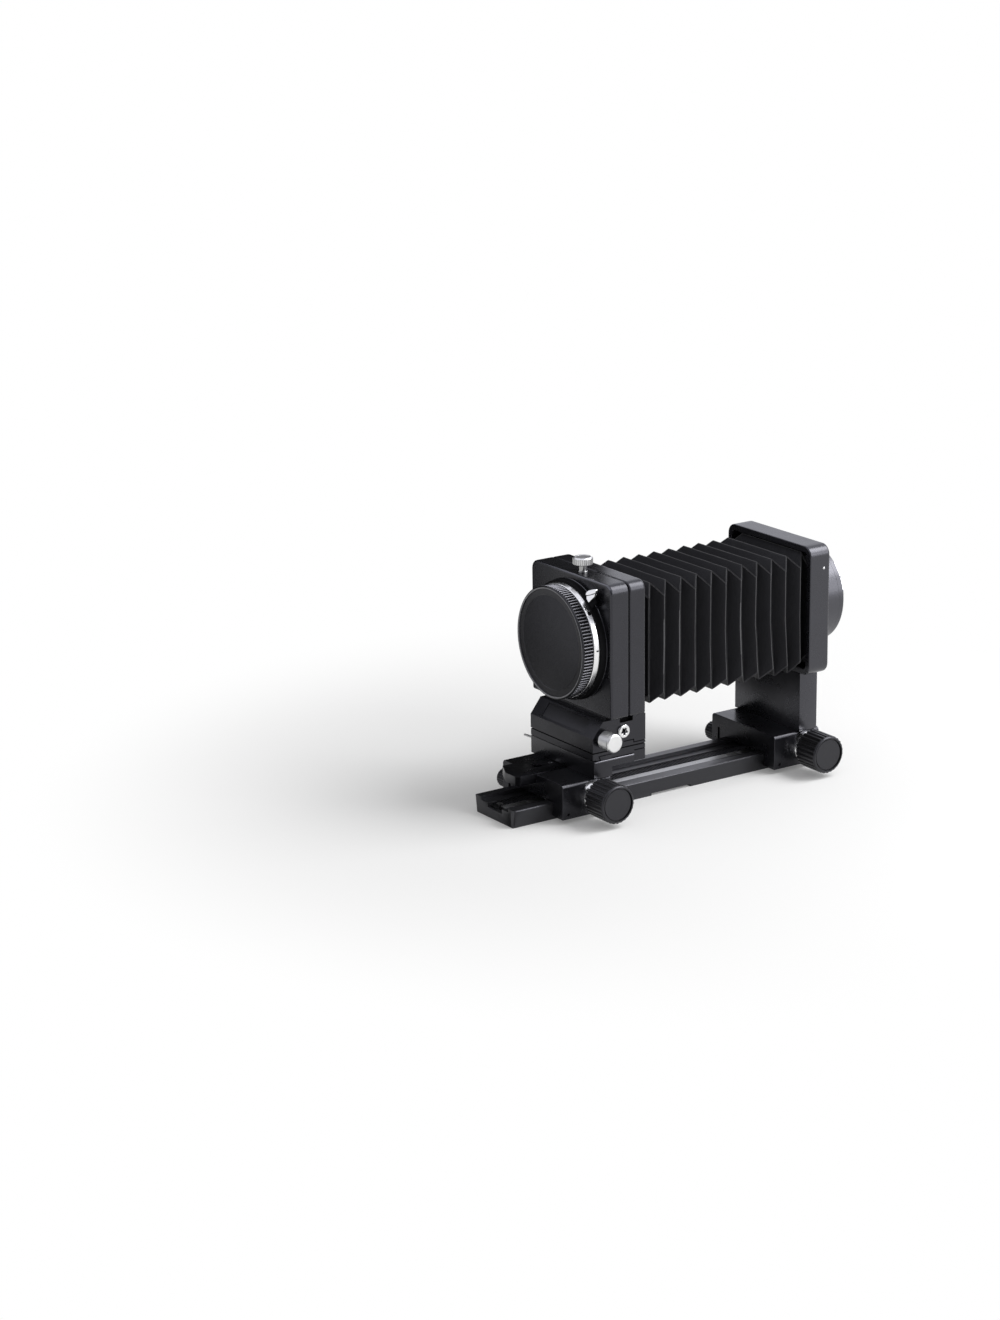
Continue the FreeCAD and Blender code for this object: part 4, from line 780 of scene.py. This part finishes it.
edged = {"rail": (railAnodised, "rail", "black_anodised", 0.35),
         "scale_plate": (scaleSatin, "rail", "scale_silver", 0.12),
         "tongue_plate": (satinEnamel, "front_carriage", "black_paint", 0.3),
         "front_pedestal": (satinEnamel, "front_carriage", "black_paint", 0.8),
         "name_panel": (nameBlack, "lens_panel", "black_plastic", 0.15),
         "shift_lock_lever": (satinSilver, "shift_lock", "chrome", 0.2),
         "bellows_front_frame": (insideBlack, "lens_panel", "black_plastic", 0.2),
         "bellows_rear_frame": (insideBlack, "rear_carriage", "black_plastic", 0.2),
         "rear_column": (rearEnamel, "rear_carriage", "black_paint", 0.5)}
for node, values in edged.items():
    machined(node, *values)
dress(railAnodised, "rail_rack")
dress(mirrorChrome, "tongue_screw")
dress(satinSteel, "tripod_bush", "rack_screw_front", "rack_screw_rear", "swing_pivot", "release_plunger",
      "lens_lock_pin", "diaphragm_lever")
for end in ("front", "rear"):
    dress(satinSteel, end + "_shaft", end + "_pinion", end + "_lock_screw", end + "_column_screw_left",
          end + "_column_screw_right")
    dress(turnedBrass, end + "_outer_bush", end + "_inner_bush", end + "_brake_pad")
print("plain pieces made")


# The rail's scale

numberLook = {"count": 18, "every": 10, "size": 3.1, "x": 2.55, "lift": 0.02}
tickLook = {"count": 181, "start": -93, "pitch": 1, "edge": 6.05, "short": 1, "step": 0.55,
            "width": 0.16, "thick": 0.03}


def scaleNumbers(look, top):
    # plain numbers every ten millimetres, read from the knob side
    meshes = []
    for i in range(1, look["count"] + 1):
        curve = bpy.data.curves.new("number", "FONT")
        curve.body = str(i)
        curve.size = look["size"] * milli
        curve.align_x = curve.align_y = "CENTER"
        mesh = settled(standing("number", curve))
        spot = Vector((look["x"], tickLook["start"] + look["every"] * i, top)) * milli
        mesh.transform(Matrix.Translation(spot) @ Matrix.Rotation(math.pi / 2, 4, "Z"))
        meshes.append(painted(mesh, scaleMark))
    return merged(meshes)


def makeScale(look):
    top = boxOf("scale_plate")[1].z + look["lift"]
    ticks = grown(None, ticksTree, {**tickLook, "lift": top}, scaleMark)
    ridePiece(ticks, "rail", name="scaleTicks")
    ridePiece(scaleNumbers(look, top), "rail", name="scaleNumbers")
    print("scale made")


makeScale(numberLook)


# What both carriages carry; heights of turned pieces are measured from the frame's origin along their axis

knobLook = {"coat": knobBlack, "segments": 120, "relief": ribsTree, "reliefCoat": knobBlack, "count": 26,
            "radius": 9.92, "bottom": 34.5, "length": 14.2, "height": 0.48, "width": 1.75,
            "profile": [(0, 33, 0), (8.2, 33, 0), (9.95, 34.7, 0.5), (9.95, 48, 0.1), (10.25, 48.3, 0.2),
                        (10, 49.05, 0.2), (9.5, 49.5, 0.15), (8.9, 49.5, 0.08), (8.75, 48.4, 0.05),
                        (8.3, 48.4, 0.05), (8.2, 49, 0.12), (4, 49, 0), (0, 49, 0)]}
collarLook = {"coat": collarChrome, "segments": 120,
              "profile": [(0, 27.5, 0), (8.05, 27.5, 0), (8.05, 28.9, 0.05), (8.35, 28.95, 0.1),
                          (8.65, 29.3, 0.3), (8.6, 31.1, 0.6), (8.2, 32.2, 0.4), (8.15, 33, 0), (0, 33, 0)]}
lockLook = {"coat": knobBlack, "segments": 72, "relief": ribsTree, "reliefCoat": knobBlack, "count": 22,
            "radius": 4.93, "bottom": 28.9, "length": 7.9, "height": 0.35, "width": 0.8,
            "profile": [(0, 27.5, 0), (3.4, 27.5, 0), (3.4, 28.5, 0), (4.55, 28.5, 0.1), (4.95, 28.9, 0.1),
                        (4.95, 37, 0.1), (4.4, 38, 0.5), (2.2, 38, 0), (1.9, 37.7, 0.1), (0, 37.7, 0)]}
carriageLook = {"half": 27.4, "top": 21.4, "bottom": 2.4, "corner": 2, "mouth": (17.05, 18), "mouthTop": 9.7,
                "mouthCorner": 0.6, "step": 22.2, "sill": 14.5, "stepDeep": 0.7, "edge": 0.3,
                "dot": {"radius": 0.9, "deep": 0.8, "from": 3.6, "z": 5},
                "screw": {"room": 0.08, "deep": 2.25}, "tongue": {"side": 0.12, "long": 12.1, "under": 0.05,
                                                          "over": 3.6}}


def carriageOutline(look):
    # across the rail: rounded upper corners and a mouth that closes in under the rail's sides
    half, top, corner = look["half"], look["top"], look["corner"]
    (low, high), cut = look["mouth"], look["mouthCorner"]
    right = [(low, look["bottom"]), (half, look["bottom"])]
    for k in range(7):
        angle = math.pi / 2 * k / 6
        right.append((half - corner + corner * math.cos(angle), top - corner + corner * math.sin(angle)))
    left = [(-x, z) for x, z in reversed(right)]
    inside = [(high, look["mouthTop"] - cut), (high - cut, look["mouthTop"])]
    return right + left + [(-x, z) for x, z in inside] + list(reversed(inside))


def makeCarriage(look, end):
    node = end + "_carriage"
    front, rear = [corner.y for corner in boxOf(node)]
    step, deep, dot, screw = look["step"], look["stepDeep"], look["dot"], look["screw"]
    cutters = [block((-step, step), y, (-1, look["sill"])) for y in ((front - 1, front + deep),
                                                                    (rear - deep, rear + 1))]
    cutters.append(drill(dot["radius"], 0, 2, (look["half"] - dot["deep"], front + dot["from"], dot["z"]),
                         "+X", 24))
    for side in ("left", "right"):
        name = f"{end}_column_screw_{side}"
        low, high = boxOf(name)
        centre = middleOf(name, 2) + Vector((0, 0, look["bottom"]))
        cutters.append(drill((high.x - low.x) / 2 + screw["room"], -2, screw["deep"], centre, "+Z", 32))
    if end == "front":
        low, high = boxOf("tongue_plate")
        room = look["tongue"]
        cutters.append(block((low.x - room["side"], high.x + room["side"]), (front - 1, front + room["long"]),
                             (low.z - room["under"], look["top"] + room["over"])))
    mesh = prism(carriageOutline(look), (front, rear), satinEnamel)
    cutShape(node, mesh, cutters, look["edge"], node)


def makeDrives():
    for end in ("front", "rear"):
        shaft = end + "_shaft"
        turnedPiece(end + "_focus_knob", knobLook, end + "_drive", about=shaft)
        turnedPiece(end + "_knob_collar", collarLook, end + "_drive", about=shaft)
        turnedPiece(end + "_lock_knob", lockLook, end + "_lock", "-X")
        makeCarriage(carriageLook, end)
    print("carriages, drives and locks made")


makeDrives()


# Front standard below the slabs

standLook = {"front": -59.5, "side": 28.2, "deep": 1.9, "far": -20, "line": 0.55, "edge": 0.35,
             "seams": [(34.85, 36), (30, 31.45)],
             "plateLines": [((-33, -20), (32.15, 32.70))],
             "blockLines": [((-39.8, -33), (38.1, 38.65)), ((-33.55, -33), (36.6, 38.1)),
                            ((-33, -20), (36.6, 37.15))],
             "lip": {"x": (28.3, 29.05), "y": (-58.9, -33.3), "z": (29.75, 30.7), "edge": 0.42},
             # a box on the swing block's side, under the slab's edge, painted dark as shade; nothing is cut
             # there
             "notch": {"x": (25.5, 28.19), "y": (-42.3, -33.8), "z": (48.8, 52.4)}}


def makeFrontStandard(look):
    lip, notch = look["lip"], look["notch"]
    strip = painted(block(lip["x"], lip["y"], lip["z"]), edgeGloss)
    strip = ridePiece(strip, "front_carriage", None, "ring", "pedestalLip")
    softened(strip, lip["edge"], 30, 4)
    # dark seams round the shift plate, where it meets what is above and below it, and lines on the side
    side, out, before, deep = look["side"], look["side"] + 1, look["front"] - 1, look["deep"]
    upper, lower = look["seams"]
    seams = [block((-out, out), (before, look["front"] + deep), z) for z in (upper, lower)]
    for edges in ((-out, deep * 0.5 - side), (side - deep * 0.5, out)):
        seams.append(block(edges, (before, look["far"]), upper))
    plate, swing = [[block((side - look["line"], out), y, z) for y, z in look[key]]
                    for key in ("plateLines", "blockLines")]
    cutShape("shift_plate", nodeCopy("shift_plate"), seams + plate, look["edge"], "shift_slide", deepBlack)
    # the swing block's lines are cut, and a box under the slab gets painted shade
    cutShape("swing_block", nodeCopy("swing_block"), swing, look["edge"], "lens_panel", deepBlack,
             [block(notch["x"], notch["y"], notch["z"])])
    print("front standard made")


makeFrontStandard(standLook)


# Silver knob and cable socket on the side of the swing block

# the knurl is a darker copy of the knob's silver: painted shade
sideKnobLook = {"coat": satinSilver, "relief": knurlTree, "reliefCoat": knurlSilverPaintedShade, "count": 44, "rows": 11,
                "radius": 4.75, "bottom": 30.65, "pitch": 0.64, "height": 0.24, "width": 0.36,
                "profile": [(0, 18, 0), (1.9, 18, 0), (1.9, 28.3, 0), (3, 28.3, 0.1), (3, 30, 0),
                            (4.45, 30, 0.1), (4.75, 30.3, 0.1), (4.75, 37.65, 0), (4.5, 37.75, 0.05),
                            (4.5, 38, 0.05), (4.85, 38.15, 0.1), (4.85, 38.5, 0.2), (4.25, 39, 0.3),
                            (2, 39, 0), (0, 39, 0)]}
# a chrome ring whose hole has shallow lobes, with its threaded bore behind
socketLook = {"coat": mirrorChrome, "segments": 120, "petals": 5,
              "profile": [(1.9, 22, 0), (2.8, 22, 0), (2.8, 28.2, 0), (3.75, 28.2, 0.05), (3.75, 29, 0.35),
                          (3.1, 29.5, 0.3), (1.9, 29.4, 0.2, 0.27), (1.65, 29, 0.05, 0.45),
                          (1.65, 28, 0, 0.45), (1.9, 27.9, 0)]}
turnedPiece("swing_lock_knob", sideKnobLook, "swing_lock")
turnedPiece("release_socket", socketLook, "lens_panel")
print("side knob and socket made")


# Lens panel: two slabs, boss, bayonet ring and its lever

slabLook = {"front": [(0, -41.5, 22), (0.25, -41.5, 34.9, 35, 4.8, 0.9), (0.25, -42.1, 35.5, 35.6, 4.8, 0.9),
                      (1.3, -53, 35.5, 35.6, 4.8, 0.9), (0.25, -53, 32.05), (0.45, -56.7, 31.7),
                      (0, -56.7, 23.5), (0, -53, 23.5), (0, -53, 22)],
            "rear": [(0, -31, 22), (1.3, -31, 35.5, 35.6, 4.8, 0.9), (0.25, -40.5, 35.5, 35.6, 4.8, 0.9),
                     (0.2, -41, 35, 35.1, 4.8, 0.9), (0, -41, 33, 33, 2.8), (0, -41.5, 33, 33, 2.8),
                     (0, -41.5, 22)],
            "bossFrom": -53.35, "edgeBack": (-0.95, -0.25), "edgeUp": 0.3}
ringLook = {"rows": [(0, -56.6, 23.5), (0.25, -56.6, 30.6), (0.1, -59.45, 30.25), (0.1, -59.7, 30),
                     (0.2, -59.7, 23.5)],
            "tabs": {"y": (-57.2, -55.4), "radii": (22.6, 23.6), "first": 90, "span": 58},
            "markRadii": (30, 30.61), "marks": [((-58.4, -57.2), 2.2, 1.4), ((-58.6, -57), 40, 3.6)]}
# the lever's bright tab and the wedge under it, as seen from the front: (x, z)
leverLook = {"y": (-58, -56.6), "edge": 0.22, "lean": (0.22, 0.20), "about": (24.3, 119),
             "tab": [(21.17, 118.79), (21.11, 119.53), (21.62, 120.59), (22.64, 121.41), (24.63, 122.15),
                     (26.48, 122.64), (27.25, 122.32), (27.32, 121.66), (26.93, 120.84), (24.63, 119.61),
                     (22.26, 118.71)],
             "wedge": [(21.75, 118.3), (24.63, 119.36), (27, 120.35), (26.87, 118.87), (25.2, 116.99),
                       (23.86, 115.35), (22.26, 116.82)],
             "arm": ((-56.5, -55.3), (31.9, 37.5), 49.5, 12)}


def makeSlabs(look):
    # the boss is darker and matte, a painted shade next to the ring, and the bevel that looks forward and up
    # is glossier
    low, high = look["edgeBack"]
    mesh = ringSolid(look["front"], frameEnamel)
    boss, up = look["bossFrom"], look["edgeUp"]
    banded(mesh, deepBlack, lambda at, _: at.y < boss)
    banded(mesh, edgeGloss, lambda at, way: at.y >= boss and low < way.y < high and way.z > up)
    ridePiece(mesh, "lens_panel", "front_slab", "ring")
    ridePiece(ringSolid(look["rear"], frameEnamel), "lens_panel", "rear_slab", "ring")


def makeLensRing(look):
    # its rim is very slightly conical
    ring = ringSolid(look["rows"], ringChrome)
    marks = [sectorMesh(y, look["markRadii"], middle, span, deepBlack)
             for y, middle, span in look["marks"]]
    ridePiece(merged([ring] + lugs(look["tabs"], mirrorChrome) + marks), "lens_panel",
              "lens_mount_ring", "ring")


def makeLever(look):
    # two small plates on one arm that reaches in under the ring
    (x0, z0), (leanX, leanZ) = look["about"], look["lean"]
    parts = [prism(look[plate], look["y"], collarChrome, lambda x, z: (x - x0) * leanX + (z - z0) * leanZ)
             for plate in ("tab", "wedge")]
    parts.append(sectorMesh(*look["arm"], deepBlack))
    piece = ridePiece(merged(parts), "lens_release", "lens_release_lever", "ring")
    softened(piece, look["edge"], 50)


makeSlabs(slabLook)
makeLensRing(ringLook)
makeLever(leverLook)
print("lens panel made")


# Body cap

capLook = {"coat": capBlack, "segments": 160, "relief": ribsTree, "reliefCoat": ribBlackPaintedHighlight, "count": 104,
           "radius": 29.25, "bottom": 60.05, "length": 5.45, "height": 0.75, "width": 1.1,
           "profile": [(0, 65.8, 0), (24.75, 65.8, 0), (25.05, 65.68, 0.05), (25.25, 65.8, 0.05),
                       (28.3, 65.8, 0.1), (28.55, 66.48, 0.12), (29.1, 66.6, 0.12), (29.5, 66.45, 0.2),
                       (29.9, 66, 0.2), (29.9, 65.65, 0.1), (29.3, 65.5, 0.05), (29.3, 64.9, 0),
                       (29.3, 60.35, 0), (29.3, 60.25, 0), (29.8, 60.15, 0.05), (29.8, 59.85, 0.05),
                       (29, 59.75, 0.1), (22.3, 59.75, 0), (22.3, 53.6, 0.2), (20.8, 53.6, 0.2),
                       (20.8, 63.8, 0), (0, 63.8, 0)],
           # bands: the grained face, painted shade on the base between the ribs, and a painted highlight on
           # the rim
           "bands": [(capGrain, (-1, 24.9), (65.75, 67)), (deepBlack, (29.2, 29.4), (60.15, 65.6)),
                     (capEdge, (28.35, 29.15), (66.15, 67))],
           "lugs": {"y": (-55.2, -54.2), "radii": (22.2, 23.3), "first": 90, "span": 46}}

capMesh = turnedMesh(capLook, "-Y", (0, 0, lensAxis))
ridePiece(merged([capMesh] + lugs(capLook["lugs"], capBlack)), "cap", "body_cap", "turned")
print("cap made")


# Clamp screw on top

# the head's ribs and the neck are darker copies of the metal: painted shade and a painted dark reflection
clampLook = {"coat": satinSilver, "relief": ribsTree, "reliefCoat": clampSilverPaintedShade, "count": 28, "radius": 4.98,
             "bottom": 129.8, "length": 3, "height": 0.36, "width": 0.60,
             "profile": [(0, 117, 0), (1.55, 117, 0.2), (1.55, 125.35, 0), (2.6, 125.35, 0),
                         (2.6, 125.85, 0.15), (2.25, 126.15, 0.2), (2.25, 129.4, 0), (4.6, 129.4, 0.1),
                         (5, 129.8, 0.1), (5, 132.8, 0.1), (4.35, 133.5, 0.15), (3.7, 133.5, 0.1),
                         (3.5, 133.35, 0.1), (1.2, 133.35, 0), (0, 133.35, 0)],
             "bands": [(neckSteelPaintedShade, (-1, 6), (116, 129.35))]}
turnedPiece("top_clamp_screw", clampLook, "top_clamp", "+Z")


# Bellows in four lengths, each between the two bodies it joins

bellowsLook = {"ridgeStart": -25.7, "halfPitch": 5.025, "valley": 25.0, "depth": 6.2, "levels": 21.0,
               "lead": 3.8, "tail": 1.175, "leanFront": -0.8, "leanRear": 3.0, "sag": 0.35, "wander": 0.28,
               "drop": 2.13, "stretch": 0.044, "columns": 97, "axis": lensAxis, "rowsPerLevel": 6,
               "wall": 0.5}
# first and last fold level, and the bodies before and behind
lengths = {"bellows_swing_fold": (-1, 2, "lens_panel", "shift_slide"),
           "bellows_shift_fold": (2, 4, "shift_slide", "front_carriage"),
           "bellows_front_folds": (4, 12, "front_carriage", "rail"),
           "bellows_rear_folds": (12, 22, "rail", "rear_carriage")}


def facedOut(mesh):
    # the tube is open, so its faces are turned away from the lens axis by hand
    inward = 0
    with reworked(mesh) as work:
        for face in work.faces:
            centre = face.calc_center_median()
            away = face.normal.dot(centre - Vector((0, centre.y, lensAxis * milli)))
            inward += 1 if away < 0 else -1
        if inward > 0:
            bmesh.ops.reverse_faces(work, faces=work.faces)
    return mesh


def makeBellows(look):
    for node, (first, last, bodyA, bodyB) in lengths.items():
        values = {**look, "first": float(first), "last": float(last),
                  "rows": (last - first) * look["rowsPerLevel"] + 1}
        holder = standing("holder", facedOut(grown(None, pleatsTree, values, bellowsCloth)))
        wall = holder.modifiers.new("wall", "SOLIDIFY")
        wall.thickness = look["wall"] * milli
        wall.offset = -1.0
        piece = ridePiece(settled(holder), None, node, "cloth")
        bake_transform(piece)
    print("bellows made")


makeBellows(bellowsLook)


# Rear standard and camera mount

rearLook = {"rows": [(0, 91.15, 25), (1.1, 91.15, 35.5, 35.6, 5.5), (0.7, 78, 35.5, 35.6, 5.5),
                     (0.35, 78, 32.2, 32.2, 2.2), (0.2, 83, 32.2, 32.2, 2.2), (0, 83, 22),
                     (0, 84.6, 22), (0, 84.6, 25)]}
sideScrewLook = {"coat": satinSilver, "segments": 24,
                 "profile": [(0, 33.45, 0), (0.7, 33.45, 0), (0.7, 35.55, 0.1), (0.35, 35.75, 0.1),
                             (0, 35.77, 0)]}
barrelLook = {"rows": [(0, 84.65, 20), (0, 84.65, 24.95), (0, 91.2, 24.95), (0.4, 91.2, 27),
                       (0.08, 105.5, 27), (0, 105.5, 20)]}
cameraLook = {"rows": [(0, 105.5, 20), (0.08, 105.5, 27), (0.4, 108.5, 27), (0.1, 108.5, 21.8),
                       (0.25, 113, 21.8), (0.2, 113, 20)], "blackFrom": 25.8,
              "lugs": {"y": (110.8, 112.2), "radii": (21.7, 22.9), "first": 30, "span": 52},
              "screws": 4, "circle": 24.6}
flangeScrewLook = {"coat": satinSteel, "segments": 24,
                   "profile": [(0, 108.4, 0), (0.95, 108.4, 0), (0.95, 108.52, 0.08), (0.6, 108.62, 0),
                               (0, 108.64, 0)]}


def makeRear():
    ridePiece(ringSolid(rearLook["rows"], rearEnamel), "rear_carriage", "rear_frame", "ring")
    turnedPiece("frame_side_screw", sideScrewLook, "rear_carriage")
    barrel = ringSolid(barrelLook["rows"], barrelSatin)
    ridePiece(barrel, "camera_mount", "mount_barrel", "ring")


def makeCameraRing(look):
    flange = ringSolid(look["rows"], mirrorChrome)
    banded(flange, barrelSatin, lambda at, _: math.hypot(at.x, at.z - lensAxis) > look["blackFrom"])
    parts = [flange] + lugs(look["lugs"], mirrorChrome)
    for i in range(look["screws"]):
        angle = math.radians(45 + 360 * i / look["screws"])
        spot = (look["circle"] * math.cos(angle), 0, lensAxis + look["circle"] * math.sin(angle))
        parts.append(turnedMesh(flangeScrewLook, "+Y", spot))
    ridePiece(merged(parts), "camera_mount", "camera_mount_ring", "flange")


makeRear()
makeCameraRing(cameraLook)
print("rear standard made")


# Floor, light and camera

stageLook = {"size": 6, "floor": 0.80, "glow": 0.15, "near": 0.15, "far": 0.34}
# dark things that stand beside the object show only as its dark reflections
cardLook = {"backLeft": {"from": (-185, -172), "to": (-66, 18), "high": 205, "tone": 0.020},
            "backLeftEnd": {"from": (-66, 18), "to": (-168, 81), "high": 205, "tone": 0.020},
            "frontLeft": {"from": (-200, -200), "to": (30, -95), "high": 60, "tone": 0.010}}
lights = {"key": {"place": (0.50, 0.80, 1.12), "aim": (0, 0.02, 0.07), "size": 0.85, "power": 15},
          "side": {"place": (1.25, 0.75, 0.55), "aim": (0, 0.02, 0.08), "size": 0.8, "power": 7}}
skyLook = {"light": 0.42, "paper": (0.96, 0.97, 1.05, 1), "room": (0.10, 0.10, 0.115, 1),
           "toRoom": (0.79, -0.54, 0.28), "from": 0.78, "to": 0.96}
cameraView = {"azimuth": 56.04, "elevation": 16.47, "roll": -0.70, "lens": 115.2, "distance": 1663.2,
              "right": 36.86, "up": 10.81, "centre": (0, -53, 89.4), "sensor": 36, "clip": (0.05, 50)}


def stagePlane(name, points, material):
    mesh = bpy.data.meshes.new(name)
    mesh.from_pydata(points, [], [(0, 1, 2, 3)])
    mesh.materials.append(material)
    plane = standing(name, mesh)
    return plane


def makeStage(look):
    material, graph, place = startMaterial("paleFloor")
    shade = graph.add("ShaderNodeBsdfDiffuse", {"Color": grey(look["floor"]), "Roughness": 0.0})
    glow, paper = [graph.add("ShaderNodeEmission", {"Color": grey(1.0), "Strength": strength})
                   for strength in (look["glow"], 1.0)]
    lit = graph.add("ShaderNodeAddShader", {0: shade, 1: glow})
    flat = graph.add("ShaderNodeVectorMath", {0: place}, "Value", operation="LENGTH")
    seen = graph.shaders(flat.stepped(look["near"], look["far"]), lit, paper)
    path = graph.add("ShaderNodeLightPath", out="Is Camera Ray")
    white = (path + path.other("Is Glossy Ray") + path.other("Is Transmission Ray")).clamped()
    graph.add("ShaderNodeOutputMaterial", {"Surface": graph.shaders(white, shade, seen)})
    size = look["size"]
    stagePlane("floor", [(-size, -size, 0), (size, -size, 0), (size, size, 0), (-size, size, 0)], material)


def makeCards(cards):
    # dark cards that only reflections see
    for name, look in cards.items():
        material, graph, _ = startMaterial(name)
        shade = graph.add("ShaderNodeEmission", {"Color": grey(1.0), "Strength": look["tone"]})
        graph.add("ShaderNodeOutputMaterial", {"Surface": shade})
        (x0, y0), (x1, y1), high = look["from"], look["to"], look["high"]
        corners = [(x0, y0, 0.0), (x1, y1, 0.0), (x1, y1, high), (x0, y0, high)]
        card = stagePlane(name, [tuple(c * milli for c in corner) for corner in corners], material)
        card.visible_camera = card.visible_diffuse = card.visible_shadow = False
        card.visible_transmission = False


def makeWorld(look):
    world = bpy.data.worlds.new("studio")
    bpy.context.scene.world = world
    world.use_nodes = True
    world.node_tree.nodes.clear()
    graph = Graph(world.node_tree)
    path = graph.add("ShaderNodeLightPath", out="Is Camera Ray")
    # reflections see the pale backdrop behind the object and the darker room in front of it
    direction = graph.add("ShaderNodeTexCoord", out="Generated")
    toRoom = graph.add("ShaderNodeVectorMath", {0: direction, 1: look["toRoom"]}, "Value",
                       operation="DOT_PRODUCT")
    shown = graph.mixed(toRoom.stepped(look["from"], look["to"]), look["paper"], look["room"])
    around, paper, tinted = [graph.add("ShaderNodeBackground", {"Color": colour, "Strength": strength})
                             for colour, strength in ((grey(1.0), look["light"]), (grey(1.0), 1.0),
                                                      (shown, 1.0))]
    both = graph.shaders((path + path.other("Is Transmission Ray")).clamped(), around, paper)
    graph.add("ShaderNodeOutputWorld", {"Surface": graph.shaders(path.other("Is Glossy Ray"), both, tinted)})


def makeLights(lamps):
    for name, look in lamps.items():
        data = bpy.data.lights.new(name, "AREA")
        data.shape = "SQUARE"
        data.size = look["size"]
        data.energy = look["power"]
        lamp = standing(name, data)
        lamp.location = look["place"]
        way = Vector(look["aim"]) - Vector(look["place"])
        lamp.rotation_euler = way.to_track_quat("-Z", "Y").to_euler()


def makeCamera(look):
    az, el, roll = (math.radians(look[k]) for k in ("azimuth", "elevation", "roll"))
    back = Vector((math.sin(az) * math.cos(el), -math.cos(az) * math.cos(el), math.sin(el)))
    level = Vector((math.cos(az), math.sin(az), 0.0))
    above = back.cross(level)
    right = level * math.cos(roll) + above * math.sin(roll)
    up = above * math.cos(roll) - level * math.sin(roll)
    spot = Vector(look["centre"]) + back * look["distance"] - right * look["right"] - up * look["up"]
    data = bpy.data.cameras.new("camera")
    data.sensor_fit = "HORIZONTAL"
    data.sensor_width = look["sensor"]
    data.lens = look["lens"]
    data.clip_start, data.clip_end = look["clip"]
    camera = standing("camera", data)
    camera.matrix_world = Matrix.Translation(spot * milli) @ Matrix((right, up, back)).transposed().to_4x4()
    bpy.context.scene.camera = camera


makeStage(stageLook)
makeCards(cardLook)
makeWorld(skyLook)
makeLights(lights)
makeCamera(cameraView)
bpy.context.scene.view_settings.view_transform = "Standard"
print("stage, lights and camera ready")
